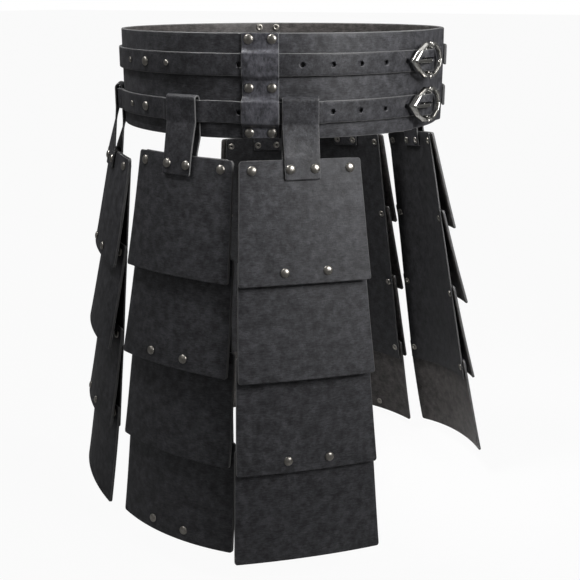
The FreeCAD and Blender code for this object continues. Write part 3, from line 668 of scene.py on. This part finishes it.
def plated(name, colour_name, rough):
    """Nickel-plated and polished metal: bright, with soft smudges and fine random scratches that
    break its reflections up."""
    material, tree, shader = new_material(name)
    if not tree:
        return material
    place = add(tree, "TexCoord", out="Object")
    turned = add(tree, "Mapping", inputs={
        "Vector": place, "Scale": (1, 1, 9), "Rotation": (0.4, 0.9, 0.2)})
    smudge = add(tree, "TexNoise", inputs={
        "Vector": place, "Scale": per_metre(SMUDGE_SIZE), "Detail": 3.0})
    scratch = add(tree, "TexNoise", inputs={
        "Vector": turned, "Scale": per_metre(SCRATCH_SIZE), "Detail": 4.0})
    gloss = add(tree, "MapRange", inputs={
        "Value": smudge, "From Min": 0.3, "From Max": 0.7, "To Min": rough, "To Max": rough + 0.14})
    dull = add(tree, "MapRange", inputs={
        "Value": smudge, "From Min": 0.35, "From Max": 0.75, "To Min": 1.0, "To Max": 0.72})
    metal = add(tree, "MixRGB", {"blend_type": "MULTIPLY"}, {
        "Fac": 1.0, "Color1": tint(colour_name), "Color2": dull})
    bump = add(tree, "Bump", inputs={
        "Strength": 0.08, "Distance": 0.2 * MM, "Height": scratch})
    surface(tree, shader, metal, gloss, bump)
    shader.inputs["Metallic"].default_value = 1.0
    return material


def plate_leather():
    """Leather of the belt and the lames, cloudy and streaked across."""
    return leather("waxed_black_plate_leather", "plate", "flesh", (0.45, 0.45, 2.2), 0.5)


def keeper_leather_with_painted_sheen():
    """Leather of the keepers, wet-formed over the straps, so that it is glossier, with a lighter face colour
    that is painted sheen.
    """
    return leather("wet_formed_black_keeper_leather", "keeper", "liner", (1.0, 1.0, 0.6), 0.34, 0.7)


def strap_leather():
    """Leather of straps, hangers and chapes, closer grained and a little glossier."""
    return leather("waxed_black_strap_leather", "strap", "liner", (1.0, 1.0, 1.3), 0.42, 0.8)


def liner_leather():
    """Smooth leather of the liners, dyed on both sides."""
    return leather("smooth_black_liner_leather", "liner", "liner", (0.7, 0.7, 1.4), 0.46, 0.6)


def nickel():
    """Bright plating of the rivets."""
    return plated("bright_nickel_plate", "nickel", 0.27)


def casting():
    """Polished plating of the cast buckles."""
    return plated("polished_nickel_casting", "steel", 0.12)


def settle(piece, material, body, slot, *nodes):
    """Finish a piece: its material, the body that it rides on, its slot, which is not used, and the nodes it
    stands for.
    """
    piece.data.materials.clear()
    piece.data.materials.append(material)
    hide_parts(*nodes)
    if body:
        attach(piece, body)


def belt_piece():
    """The wide belt: u along the height, v along the waist, h through the leather. Its outer end is
    slanted, so the angle there is moved in proportion to the height, and its top edge waves a little."""
    lap = 360 + BELT_INNER_END
    reach, turns = belt_walk(BELT_TIP_TOP, lap)
    slope = (BELT_TIP_BOTTOM - BELT_TIP_TOP) / (2 * BELT_TOP)
    knots = (0.0, 360 + LAP_STEP[0], 360 + LAP_STEP[1], lap)
    levels = np.array((0.0, 0.0, -LAP_DROP, -LAP_DROP)) - BELT_THICKNESS

    def place(u, v, h):
        turn = np.interp(v, reach, turns)
        shift = slope * (BELT_TOP - u) * eased(v, (0.0, TIP_FADE), (1.0, 0.0))
        wave = BELT_WAVE * np.sin(np.radians(turn * BELT_WAVES + BELT_WAVE_START)) * (u / BELT_TOP) ** 2
        return plan(turn + shift, eased(turn, knots, levels) + h + wave, u)

    return mesh_piece("belt_leather", *slab(
        reach[-1], BELT_TOP, BELT_THICKNESS, place, edge=1.1, corner=2.0, rows=420, columns=24))


def lower_lifts():
    """Angles between which the lower strap rides over the hangers' inner layers."""
    spans = []
    for panel in PANELS:
        centre = panel[1] % 360
        span = LIFT_SPAN * ARC_RADII[1] / radius_at(centre)
        end = RIGHT_KEEPER + LIFT_SPAN if panel[0] == "right_front" else centre + span
        spans.append((centre - span, end))
    return sorted(spans)


def strap_levels(lifts):
    """Angles and levels of a strap's inner face, from its tail over the buckle's bar and round."""
    over_bar = BAR_OUT + CHAPE_RADIUS + SNUG
    spots = [*TAIL_LEVELS, *((angle, over_bar) for angle in BAR_SPAN), *LANDING_LEVELS]
    for start, end in lifts:
        spots += [(start - LIFT_RUN, SNUG), (start, STRAP_LIFT), (end, STRAP_LIFT), (end + LIFT_RUN, SNUG)]
    return np.transpose(spots + [(360 + STRAP_START, SNUG)])


def prong_slot(middle, span, half):
    """A block that cuts a prong's slot: span gives its start across the strap and its length."""
    def place(u, v, h):
        return in_buckle(middle, span[0] - v, u, h + CUT_FLOOR)

    return slab(span[1], half, CUT_DEPTH, place, edge=0.4, corner=2.4, rows=8, columns=3)[:2]


def strap_piece(name, middle, lifts):
    """A buckle strap: u along the height, v along the waist, h outward. Its tail draws in to a point
    and it is punched with round holes and the prong's slot."""
    reach, turns = belt_walk(TAIL_END, 360 + STRAP_START)
    knots, levels = strap_levels(lifts)

    def half(v):
        return STRAP_WIDTH / 2 - eased(v, (0.0, TAIL_LENGTH), (STRAP_WIDTH / 2 - TAIL_HALF, 0.0))

    def place(u, v, h):
        turn = np.interp(v, reach, turns)
        return plan(turn, eased(turn, knots, levels) + h, middle + u)

    piece = mesh_piece(name + "_strap_leather", *slab(
        reach[-1], half, STRAP_THICKNESS, place, edge=0.8, corner=1.5, rows=420, columns=10))
    start = np.interp(BUCKLE_ANGLE, turns, reach)
    spots = np.interp(start + HOLE_PITCH * np.arange(1, HOLE_COUNT + 1), reach, turns)
    holes = lathe(rod(HOLE_RADIUS, *PUNCH_ENDS), plan(spots, 0, middle), heading(spots), RIVET_FACES)
    return pierced(piece, [holes, prong_slot(middle, STRAP_SLOT, PRONG_SLOT_HALF - 0.6)])


def keeper_piece(name, angle, rows, lifts):
    """A keeper over the straps: u along the belt, v down it, h outward. It bulges over each strap on
    smooth steps, and its face is crowned across by a cosine."""
    half = STRAP_WIDTH / 2
    spots = [(-2 * BELT_TOP, SNUG)]
    for middle, lift in sorted(lifts):
        spots += [(middle - half - KEEPER_RUN, SNUG), (middle - half + KEEPER_INSET, lift),
                  (middle + half - KEEPER_INSET, lift), (middle + half + KEEPER_RUN, SNUG)]
    knots, levels = np.transpose(spots + [(2 * BELT_TOP, SNUG)])

    def place(u, v, h):
        turn = angle + np.degrees(u / (radius_at(angle) + SNUG))
        crown = KEEPER_CROWN * np.cos(u / KEEPER_WIDTH * np.pi) * (h > KEEPER_THICKNESS / 2)
        return plan(turn, eased(BELT_TOP - v, knots, levels) + h + crown, BELT_TOP - v)

    return mesh_piece(name + "_leather", *slab(
        rows[-1] + KEEPER_MARGIN, KEEPER_WIDTH / 2, KEEPER_THICKNESS, place,
        edge=0.7, corner=1.6, rows=90, columns=18))


def rivet_profile(radius, front, back):
    """Radius and height of a rivet from the top of its dome to its hollow end: a dome on a short
    rolled rim, the post, and behind the leather a ring with a rolled mouth."""
    top = size("cap_height") * radius / CAP_RADIUS
    turn = np.linspace(0, np.pi / 2, 7)[1:]
    dome = np.stack([0.97 * radius * np.sin(turn), front + CAP_RIM + (top - CAP_RIM) * np.cos(turn)], -1)
    rim = [(radius, front + 0.25), (0.98 * radius, front + 0.02), (POST_RADIUS, front)]
    ring = min(RING_RADIUS, radius + RING_MARGIN)
    mouth = [(POST_RADIUS, back), (ring, back), (ring, back - 0.4), (ring - 0.5, back - 0.9)]
    bore = [(width, back + rise) for width, rise in RING_BORE]
    return np.concatenate([[(0, front + top)], dome, rim, mouth, bore])


def belt_rivet_spots():
    """Angle, height, cap radius, and offsets of the front's seat and of the belt there."""
    spots = []
    for centre, rows in ((RIGHT_KEEPER, KEEPER_ROWS), (LEFT_KEEPER, KEEPER_ROWS[:2])):
        swing = np.degrees(KEEPER_RIVET_SPREAD / radius_at(centre))
        spots += [(centre + side * swing, BELT_TOP - drop, CAP_RADIUS, SNUG + KEEPER_THICKNESS, 0.0)
                  for drop in rows for side in (-1, 1)]
    for name, middle in STRAP_ROWS.items():
        spots += [(angle, middle, radius, SNUG + STRAP_THICKNESS, 0.0)
                  for angle, radius in STRAP_END_RIVETS[name]]
        spots += [(CHAPE_RIVET_ANGLE, middle + side * CHAPE_HALF / 2, SMALL_CAP_RADIUS, CHAPE_TOP, -LAP_DROP)
                  for side in (-1, 1)]
    return spots


def belt_rivets_piece():
    """All rivets through the belt, one turned shape at each spot."""
    parts = []
    for angle, height, radius, front, face in belt_rivet_spots():
        profile = rivet_profile(radius, front + SEAT_GAP, face - BELT_THICKNESS - SEAT_GAP)
        parts.append(lathe(profile, plan(angle, 0, height), heading(angle), RIVET_FACES))
    return mesh_piece("belt_rivet_caps", *joined(parts))


def panel_axes(panel):
    """Origin at the first rivet row, and the across, up and outward directions of a panel."""
    _, angle, drop, stand, yaw, tilt, roll = panel[:7]
    facing, side = heading(angle + yaw), sideways(angle + yaw)
    lean, twist = math.radians(tilt), math.radians(roll)
    down = -UP * math.cos(lean) + facing * math.sin(lean)
    outward = facing * math.cos(lean) + UP * math.sin(lean)
    across = side * math.cos(twist) + down * math.sin(twist)
    origin = plan(angle, stand, BELT_TOP - drop)
    return origin, across, np.cross(outward, across), outward


def in_panel(panel, x, y, z):
    """Points from a panel's own across, up and outward distances."""
    origin, *axes = panel_axes(panel)
    return spanned(origin, axes, (x, y, z))


def in_lame(panel, row, x, y, z):
    """Points from a lame's own distances: its lower edge is swung outward about its top edge."""
    tilt = math.radians(LAME_TILTS[row])
    y, z = y * math.cos(tilt) + z * math.sin(tilt), z * math.cos(tilt) - y * math.sin(tilt)
    return in_panel(panel, x, y + TOP_MARGIN - ROW_PITCH * row, z)


def bowed(x, height, bow):
    """Outward distance at x of a face bowed round an upright axis: sqrt((bow + height)^2 - x^2) - bow."""
    return np.sqrt((bow + height) ** 2 - x ** 2) - bow


def lame_piece(panel, row):
    """A lame: u across, v down, h outward, bowed across the panel. Wear has curled its lower edge and
    corners outward, by the cube of the share of the way down, and left a slow wave of its own in it."""
    bow, run = panel[7], LAME_LENGTH
    top, low = TOP_HALF + TOP_GROWTH * row, BOTTOM_HALF + BOTTOM_GROWTH * row
    phase = (PANELS.index(panel) * PLATE_PHASES[0] + row * PLATE_PHASES[1]) % (2 * np.pi)
    curl = size("lame_curl")
    base, flare, sway = CURL_SHARES

    def place(u, v, h):
        share = v / run
        corner = base + flare * (u / low) ** 2 + sway * np.sin(phase + u / low * 2.0)
        wave = PLATE_WAVE * np.sin(phase + v / PLATE_WAVE_RUN) * share * (1 - share)
        return in_lame(panel, row, u, -v, bowed(u, SNUG + h, bow) + curl * share ** 3 * corner + wave)

    return mesh_piece("%s_plate_%d" % (panel[0], row + 1), *slab(
        run, lambda v: top + (low - top) * v / run, size("lame_thickness"), place,
        edge=size("edge_round"), corner=size("corner_round"), rows=48, columns=30))


def liner_piece(panel):
    """The liner behind a panel's lames: u across, v down, h outward, bowed like them, with slow
    waves that only go inward."""
    rise = RIVET_GROWTH / ROW_PITCH
    start = RIVET_HALF + LINER_SIDE - rise * TOP_MARGIN
    run = TOP_MARGIN + ROW_PITCH * (ROWS - 1) + LINER_TAIL
    down, over = LINER_WAVE_RUNS

    def place(u, v, h):
        wave = -LINER_WAVE * np.sin(v / down + u / over) * np.sin(np.pi * v / run)
        out = bowed(u, h - LINER_THICKNESS, panel[7]) + np.minimum(wave, 0)
        return in_panel(panel, u, TOP_MARGIN - v, out)

    return mesh_piece(panel[0] + "_liner_leather", *slab(
        run, lambda v: start + rise * v, LINER_THICKNESS, place,
        edge=size("edge_round"), corner=3.0, rows=110, columns=28))


def on_bow(panel, row, x, y):
    """Point and outward direction on a lame's bowed inner face."""
    bow = panel[7]
    base = in_lame(panel, row, x, y, bowed(x, 0.0, bow))
    tip = in_lame(panel, row, x * (1 + 1 / bow), y, bowed(x, 0.0, bow) + math.sqrt(1 - (x / bow) ** 2))
    return base, unit(tip - base)


def row_rivets(panel, row):
    """A row's corner rivets, the studs of its lame, and on the first row the hanger's rivets."""
    bow = panel[7]
    slope = math.tan(math.radians(LAME_TILTS[row]))
    back = -((TOP_MARGIN + RING_RADIUS) * slope + LINER_THICKNESS + SEAT_GAP)
    front = SNUG + size("lame_thickness") + SEAT_GAP / 2
    half = RIVET_HALF + RIVET_GROWTH * row
    pairs = [(half, -TOP_MARGIN, front, back)]
    if row + 1 in panel[8]:
        pairs.append((STUD_SPREAD, STUD_RISE - LAME_LENGTH, front + STUD_LIFT, SNUG - SEAT_GAP))
    parts = []
    for reach, height, seat, ring in pairs:
        for x in (-reach, reach):
            spot = on_bow(panel, row, x, height)
            parts.append(lathe(rivet_profile(CAP_RADIUS, seat, ring), *spot, RIVET_FACES))
    if row == 0:
        sag = HANGER_WIDTH ** 2 / 8 / bow
        profile = rivet_profile(CAP_RADIUS, front + SNUG + HANGER_THICKNESS,
                                back - sag - SNUG - HANGER_THICKNESS - SEAT_GAP)
        for x in (-HANGER_RIVET_SPREAD, HANGER_RIVET_SPREAD):
            base = in_lame(panel, 0, x, -TOP_MARGIN, 0.0)
            axis = in_lame(panel, 0, x, -TOP_MARGIN, 1.0) - base
            parts.append(lathe(profile, base, axis, RIVET_FACES))
    return parts


def hanger_piece(panel):
    """A hanger: its width u carried along a smooth path from in front of the first lame, over the
    lower strap in a half circle, and down behind the liner."""
    angle, bow = panel[1], panel[7]
    _, across, _, outward = panel_axes(panel)
    half = HANGER_THICKNESS / 2
    over = SNUG + size("lame_thickness") + SNUG + half
    under = -(LINER_THICKNESS + HANGER_WIDTH ** 2 / 8 / bow + SNUG + half)
    leaf = in_lame(panel, 0, 0.0, 0.0, 1.0) - in_lame(panel, 0, 0.0, 0.0, 0.0)
    out, side = heading(angle), sideways(angle)
    reach = STRAP_WIDTH / 2 + SNUG
    outer = STRAP_LIFT + STRAP_THICKNESS + SNUG + half
    inner = SNUG + half
    path = [(in_lame(panel, 0, 0.0, -TOP_MARGIN - HANGER_END, over), across, leaf),
            (in_lame(panel, 0, 0.0, HANGER_RISE, over), across, leaf),
            (plan(angle, outer, STRAP_ROWS["lower"] - reach), side, out)]
    top = plan(angle, (outer + inner) / 2, STRAP_ROWS["lower"] + reach)
    for lean in np.radians(np.arange(0, 181, 15)):
        direction = out * math.cos(lean) + UP * math.sin(lean)
        path.append((top + direction * (outer - inner) / 2, side, direction))
    path += [(plan(angle, inner, -BELT_TOP - SNUG), side, -out),
             (in_panel(panel, 0.0, TOP_MARGIN + HANGER_RISE, under), across, -outward),
             (in_panel(panel, 0.0, -HANGER_INNER_END, under), across, -outward)]
    centres, sides, normals = evenly(420, 3, *(np.array(values) for values in zip(*path)))
    place, run = path_place(centres, unit(sides), unit(normals), HANGER_THICKNESS)
    return mesh_piece(panel[0] + "_hanger_leather", *slab(
        run, HANGER_WIDTH / 2, HANGER_THICKNESS, place, edge=0.7, corner=1.8, rows=150, columns=14))


def in_buckle(middle, x, y, z):
    """Points from a buckle's own distances: across the strap, up, and outward from the belt."""
    axes = (sideways(BUCKLE_ANGLE), UP, heading(BUCKLE_ANGLE))
    return spanned(plan(BUCKLE_ANGLE, 0, middle), axes, (x, y, z))


def frame_outline(inset):
    """The buckle's outline at an inset. A quarter of it, from its tip to its cusp, is a straight run to
    the shoulder, a straight run to the lobe, and a quadratic curve over the lobe down into the cusp.
    The quarter is mirrored across and up."""
    tip, shoulder, lobe, crest, cusp = FRAME_CORNERS - inset * FRAME_DRAWS
    share = np.linspace(0, 1, FRAME_STEPS)[:, None]
    lower = tip + (shoulder - tip) * share
    upper = shoulder + (lobe - shoulder) * share
    over = (1 - share) ** 2 * lobe + 2 * share * (1 - share) * crest + share ** 2 * cusp
    quarter = np.concatenate([lower[:-1], upper[:-1], over])
    top = np.concatenate([quarter, (quarter * (-1, 1))[::-1][1:]])
    return np.concatenate([top, (top * (1, -1))[::-1][1:-1]])


def buckle_frame_piece(name, middle):
    """The cast frame: a faceted section carried round the lobed outline and bowed over the strap,
    with its bar, two feet and a ball in each cusp."""
    rows = []
    for inset, height in FRAME_SECTION:
        x, y = frame_outline(inset).T
        rows.append(in_buckle(middle, x, y, FRAME_CROWN + bowed(x, height, FRAME_BOW)))
    parts = [ring_band(np.stack(rows, 1))]
    bar = [(0, -BAR_HALF), (BAR_NOSE, -BAR_HALF), (BAR_RADIUS, BAR_CHAMFER - BAR_HALF),
           (BAR_RADIUS, BAR_HALF - BAR_CHAMFER), (BAR_NOSE, BAR_HALF), (0, BAR_HALF)]
    parts.append(lathe(bar, in_buckle(middle, 0, 0, BAR_OUT), UP, 20))
    turn = np.linspace(0, np.pi, 11)
    ball = BALL_RADIUS * np.stack([np.sin(turn), np.cos(turn)], -1)
    foot = rod(BAR_RADIUS, 0, FOOT_LENGTH)
    out = heading(BUCKLE_ANGLE)
    for side in (-1, 1):
        seat = in_buckle(middle, 0, BALL_SEAT * side, FRAME_CROWN + FRAME_DEPTH / 2)
        parts.append(lathe(ball, seat, out, 20))
        parts.append(lathe(foot, in_buckle(middle, 0, FOOT_SEAT * side, BAR_OUT), out, 16))
    return mesh_piece(name + "_buckle_casting", *joined(parts))


def prong_piece(name, middle):
    """The prong: a ring round the bar, and a tapered arm along a path over the strap to the tip."""
    seat = FRAME_CROWN + FRAME_DEPTH - PRONG_REACH ** 2 / 2 / (FRAME_BOW + FRAME_DEPTH) + SNUG
    corners = [(x, BAR_OUT + z) for x, z in PRONG_ROOT] + [(x, seat + z) for x, z in PRONG_TIP]
    line, = evenly(200, 5, np.array(corners))
    centres = in_buckle(middle, line[:, 0], 0.0, line[:, 1])
    place, run = upright_place(centres, PRONG_THICKNESS)
    arm = slab(run, lambda v: PRONG_HALF - 0.5 * (v / run) ** 2, PRONG_THICKNESS, place,
               edge=0.85, corner=1.0, rows=60, columns=5)[:2]
    angle = np.linspace(0, 2 * np.pi, 33)[:-1]
    rings = [in_buckle(middle, radius * np.cos(angle), y, BAR_OUT + radius * np.sin(angle))
             for radius, y in PRONG_RING]
    return mesh_piece(name + "_prong_casting", *joined([arm, ring_band(np.stack(rings, 1))]))


def chape_piece(name, middle):
    """The chape: a strip that comes along the belt, goes round the buckle's bar and returns on top of
    itself, with a slot for the prong."""
    half = CHAPE_PLY / 2
    near, far = CHAPE_BENDS
    low = plan(np.linspace(CHAPE_END, near, 60), SNUG + half - LAP_DROP, middle)
    high = plan(np.linspace(far, CHAPE_END, 60), CHAPE_TOP - half, middle)
    angle = np.radians(np.linspace(-70, -290, 30))
    loop = in_buckle(middle, (CHAPE_RADIUS - half) * np.cos(angle), 0.0,
                     BAR_OUT + (CHAPE_RADIUS - half) * np.sin(angle))
    centres, = evenly(500, 3, np.concatenate([low, loop, high]))
    place, run = upright_place(centres, CHAPE_PLY)
    piece = mesh_piece(name + "_chape_leather", *slab(
        run, CHAPE_HALF, CHAPE_PLY, place, edge=0.5, corner=1.2, rows=160, columns=8))
    return pierced(piece, [prong_slot(middle, CHAPE_SLOT, PRONG_SLOT_HALF)])


class FAULD_OT_belt(bpy.types.Operator):
    """Build the wide waist belt."""

    bl_idname = "fauld.belt"
    bl_label = "Wide Belt"

    def execute(self, context):
        settle(belt_piece(), plate_leather(), "belt", "plate_leather", "wide_belt")
        return {"FINISHED"}


class FAULD_OT_straps(bpy.types.Operator):
    """Build the two buckle straps and the two keepers over them."""

    bl_idname = "fauld.straps"
    bl_label = "Straps and Keepers"

    def execute(self, context):
        upper, lower = STRAP_ROWS["upper"], STRAP_ROWS["lower"]
        lifts = [(upper, SNUG + STRAP_THICKNESS + SNUG), (lower, STRAP_LIFT + STRAP_THICKNESS + SNUG)]
        pieces = {
            "upper_strap": strap_piece("upper", upper, []),
            "lower_strap": strap_piece("lower", lower, lower_lifts()),
            "right_keeper": keeper_piece("right_keeper", RIGHT_KEEPER, KEEPER_ROWS, lifts),
            "left_keeper": keeper_piece("left_keeper", LEFT_KEEPER, KEEPER_ROWS[:2], lifts[:1]),
        }
        for node, piece in pieces.items():
            skin = keeper_leather_with_painted_sheen() if node.endswith("keeper") else strap_leather()
            settle(piece, skin, "belt", "strap_leather", node)
        return {"FINISHED"}


class FAULD_OT_rivets(bpy.types.Operator):
    """Build the rivets of the belt and of every panel."""

    bl_idname = "fauld.rivets"
    bl_label = "Rivets"

    def execute(self, context):
        settle(belt_rivets_piece(), nickel(), "belt", "rivet_nickel", "belt_rivets")
        for panel in PANELS:
            for label, rows in (("upper", (0, 1)), ("lower", (2, 3))):
                name = "%s_%s" % (panel[0], label)
                parts = [part for row in rows for part in row_rivets(panel, row)]
                piece = mesh_piece(name + "_caps", *joined(parts))
                settle(piece, nickel(), name, "rivet_nickel", name + "_rivets")
        return {"FINISHED"}


class FAULD_OT_buckles(bpy.types.Operator):
    """Build both buckles: cast frame, prong and leather chape."""

    bl_idname = "fauld.buckles"
    bl_label = "Buckles"

    def execute(self, context):
        for name, middle in STRAP_ROWS.items():
            settle(buckle_frame_piece(name, middle), casting(), name + "_frame", "buckle_metal",
                   name + "_buckle_frame")
            settle(prong_piece(name, middle), casting(), name + "_prong", "buckle_metal",
                   name + "_buckle_prong")
            settle(chape_piece(name, middle), strap_leather(), "belt", "strap_leather", name + "_chape")
        return {"FINISHED"}


class FAULD_OT_hangers(bpy.types.Operator):
    """Build the six hangers between the belt and their panels."""

    bl_idname = "fauld.hangers"
    bl_label = "Hangers"

    def execute(self, context):
        for panel in PANELS:
            piece = hanger_piece(panel)
            settle(piece, strap_leather(), None, "strap_leather", panel[0] + "_hanger")
            start = plan(panel[1], HANGER_BEND_OUT, STRAP_ROWS["lower"] - STRAP_WIDTH / 2) * MM
            end = start.copy()
            end[2] = (BELT_TOP - panel[2] + TOP_MARGIN) * MM
            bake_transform(piece)
        return {"FINISHED"}


class FAULD_OT_liners(bpy.types.Operator):
    """Build the six liners, one behind each panel's lames."""

    bl_idname = "fauld.liners"
    bl_label = "Liners"

    def execute(self, context):
        for panel in PANELS:
            piece, name = liner_piece(panel), panel[0]
            settle(piece, liner_leather(), None, "liner_leather", name + "_liner")
            fold = TOP_MARGIN - 2 * ROW_PITCH
            start = in_panel(panel, 0.0, fold + LINER_BEND_RUN, 0.0) * MM
            end = in_panel(panel, 0.0, fold, 0.0) * MM
            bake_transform(piece)
        return {"FINISHED"}


class FAULD_OT_lames(bpy.types.Operator):
    """Build the four overlapping lames of each panel."""

    bl_idname = "fauld.lames"
    bl_label = "Lames"

    def execute(self, context):
        for panel in PANELS:
            for row in range(ROWS):
                body = "%s_%s" % (panel[0], "upper" if row < 2 else "lower")
                node = "%s_lame_%d" % (panel[0], row + 1)
                settle(lame_piece(panel, row), plate_leather(), body, "plate_leather", node)
        return {"FINISHED"}


def camera_axes():
    """Level directions to the camera's right and away from it."""
    right = np.array([math.cos(CAMERA_TURN), -math.sin(CAMERA_TURN), 0.0])
    return right, np.array([math.sin(CAMERA_TURN), math.cos(CAMERA_TURN), 0.0])


def aimed(data, name, place, target):
    """A lamp or camera at a place, looking at a target, both in metres."""
    back = unit(np.asarray(place, float) - np.asarray(target, float))
    right = unit(np.cross(UP, back))
    up = np.cross(back, right)
    thing = bpy.data.objects.new(name, data)
    rows = [[right[k], up[k], back[k], place[k]] for k in range(3)]
    thing.matrix_world = Matrix(rows + [[0, 0, 0, 1]])
    bpy.context.scene.collection.objects.link(thing)
    return thing


def add_camera():
    """The camera at the photograph's viewing angle."""
    data = bpy.data.cameras.new("camera")
    data.lens = CAMERA_LENS
    data.sensor_width = 36.0
    right, away = camera_axes()
    place = (right * CAMERA_SIDE - away * CAMERA_BACK + UP * CAMERA_HEIGHT) * MM
    target = place + away * math.cos(CAMERA_PITCH) - UP * math.sin(CAMERA_PITCH)
    bpy.context.scene.camera = aimed(data, "camera", place, target)


def add_lamp(name, side, back, height, size, power, aim, spread):
    """One square soft lamp, from a row of the table of lamps."""
    data = bpy.data.lights.new(name, "AREA")
    data.shape = "SQUARE"
    data.size, data.energy, data.spread = size, power, spread
    right, away = camera_axes()
    place = right * side - away * back + UP * height
    aimed(data, name, place, right * aim[0] + UP * aim[1])


def add_floor(low):
    """A wide pale floor under the object. The camera sees it mostly as plain white light, and the
    rest keeps the object's shadow."""
    reach = FLOOR_HALF * MM
    corners = [(-reach, -reach, low), (reach, -reach, low), (reach, reach, low), (-reach, reach, low)]
    mesh = bpy.data.meshes.new("floor")
    mesh.from_pydata(corners, [], [(0, 1, 2, 3)])
    floor = bpy.data.objects.new("floor", mesh)
    bpy.context.scene.collection.objects.link(floor)
    material, tree, shader = new_material("matt_white_floor_paint")
    shader.inputs["Base Color"].default_value = tint("floor")
    shader.inputs["Roughness"].default_value = 0.9
    shader.inputs["Specular IOR Level"].default_value = 0.1
    seen = add(tree, "LightPath", out="Is Camera Ray")
    share = add(tree, "Math", {"operation": "MULTIPLY"}, {0: seen, 1: FLOOR_GLOW})
    glow = add(tree, "Emission", inputs={"Color": (1, 1, 1, 1), "Strength": 1.0})
    mixed = add(tree, "MixShader", inputs={0: share, 1: shader.outputs[0], 2: glow})
    tree.links.new(mixed, tree.nodes["Material Output"].inputs["Surface"])
    mesh.materials.append(material)
    floor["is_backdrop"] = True


def add_world():
    """A dim grey surround that the camera sees as white."""
    world = bpy.data.worlds.new("studio")
    world.use_nodes = True
    tree = world.node_tree
    sky = tree.nodes["Background"]
    sky.inputs["Color"].default_value = (1, 1, 1, 1)
    shown = add(tree, "LightPath", out="Is Camera Ray")
    level = add(tree, "MapRange", inputs={
        "Value": shown, "From Min": 0.0, "From Max": 1.0, "To Min": SURROUND_LEVEL, "To Max": 1.0})
    tree.links.new(level, sky.inputs["Strength"])
    bpy.context.scene.world = world


class FAULD_OT_stage(bpy.types.Operator):
    """Set up the camera, soft lamps, surround and floor."""

    bl_idname = "fauld.stage"
    bl_label = "Stage"

    def execute(self, context):
        low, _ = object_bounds()
        add_camera()
        for lamp in LAMPS:
            add_lamp(*lamp)
        add_floor(low.z - FLOOR_GAP * MM)
        add_world()
        context.scene.view_settings.view_transform = "Standard"
        return {"FINISHED"}


class FAULD_PT_panel(bpy.types.Panel):
    """Lists the settings and the pieces that can be built."""

    bl_label = "Leather Fauld"
    bl_space_type = "VIEW_3D"
    bl_region_type = "UI"
    bl_category = "Fauld"

    def draw(self, context):
        layout = self.layout
        for group in (context.scene.fauld_sizes, context.scene.fauld_colours):
            for key in group.__annotations__:
                layout.prop(group, key)
        for operator in OPERATORS:
            layout.operator(operator.bl_idname)


OPERATORS = (FAULD_OT_belt, FAULD_OT_straps, FAULD_OT_rivets, FAULD_OT_buckles, FAULD_OT_hangers,
             FAULD_OT_liners, FAULD_OT_lames, FAULD_OT_stage)
CLASSES = (FauldSizes, FauldColours) + OPERATORS + (FAULD_PT_panel,)


def register():
    """Register the classes and add their settings to the scene."""
    for item in CLASSES:
        bpy.utils.register_class(item)
    bpy.types.Scene.fauld_sizes = PointerProperty(type=FauldSizes)
    bpy.types.Scene.fauld_colours = PointerProperty(type=FauldColours)


def unregister():
    """Take the settings and the classes away again."""
    del bpy.types.Scene.fauld_sizes
    del bpy.types.Scene.fauld_colours
    for item in reversed(CLASSES):
        bpy.utils.unregister_class(item)


def main():
    """Build everything."""
    register()
    bpy.ops.fauld.belt()
    bpy.ops.fauld.straps()
    bpy.ops.fauld.rivets()
    bpy.ops.fauld.buckles()
    bpy.ops.fauld.hangers()
    bpy.ops.fauld.liners()
    bpy.ops.fauld.lames()
    bpy.ops.fauld.stage()


if __name__ == "__main__":
    main()
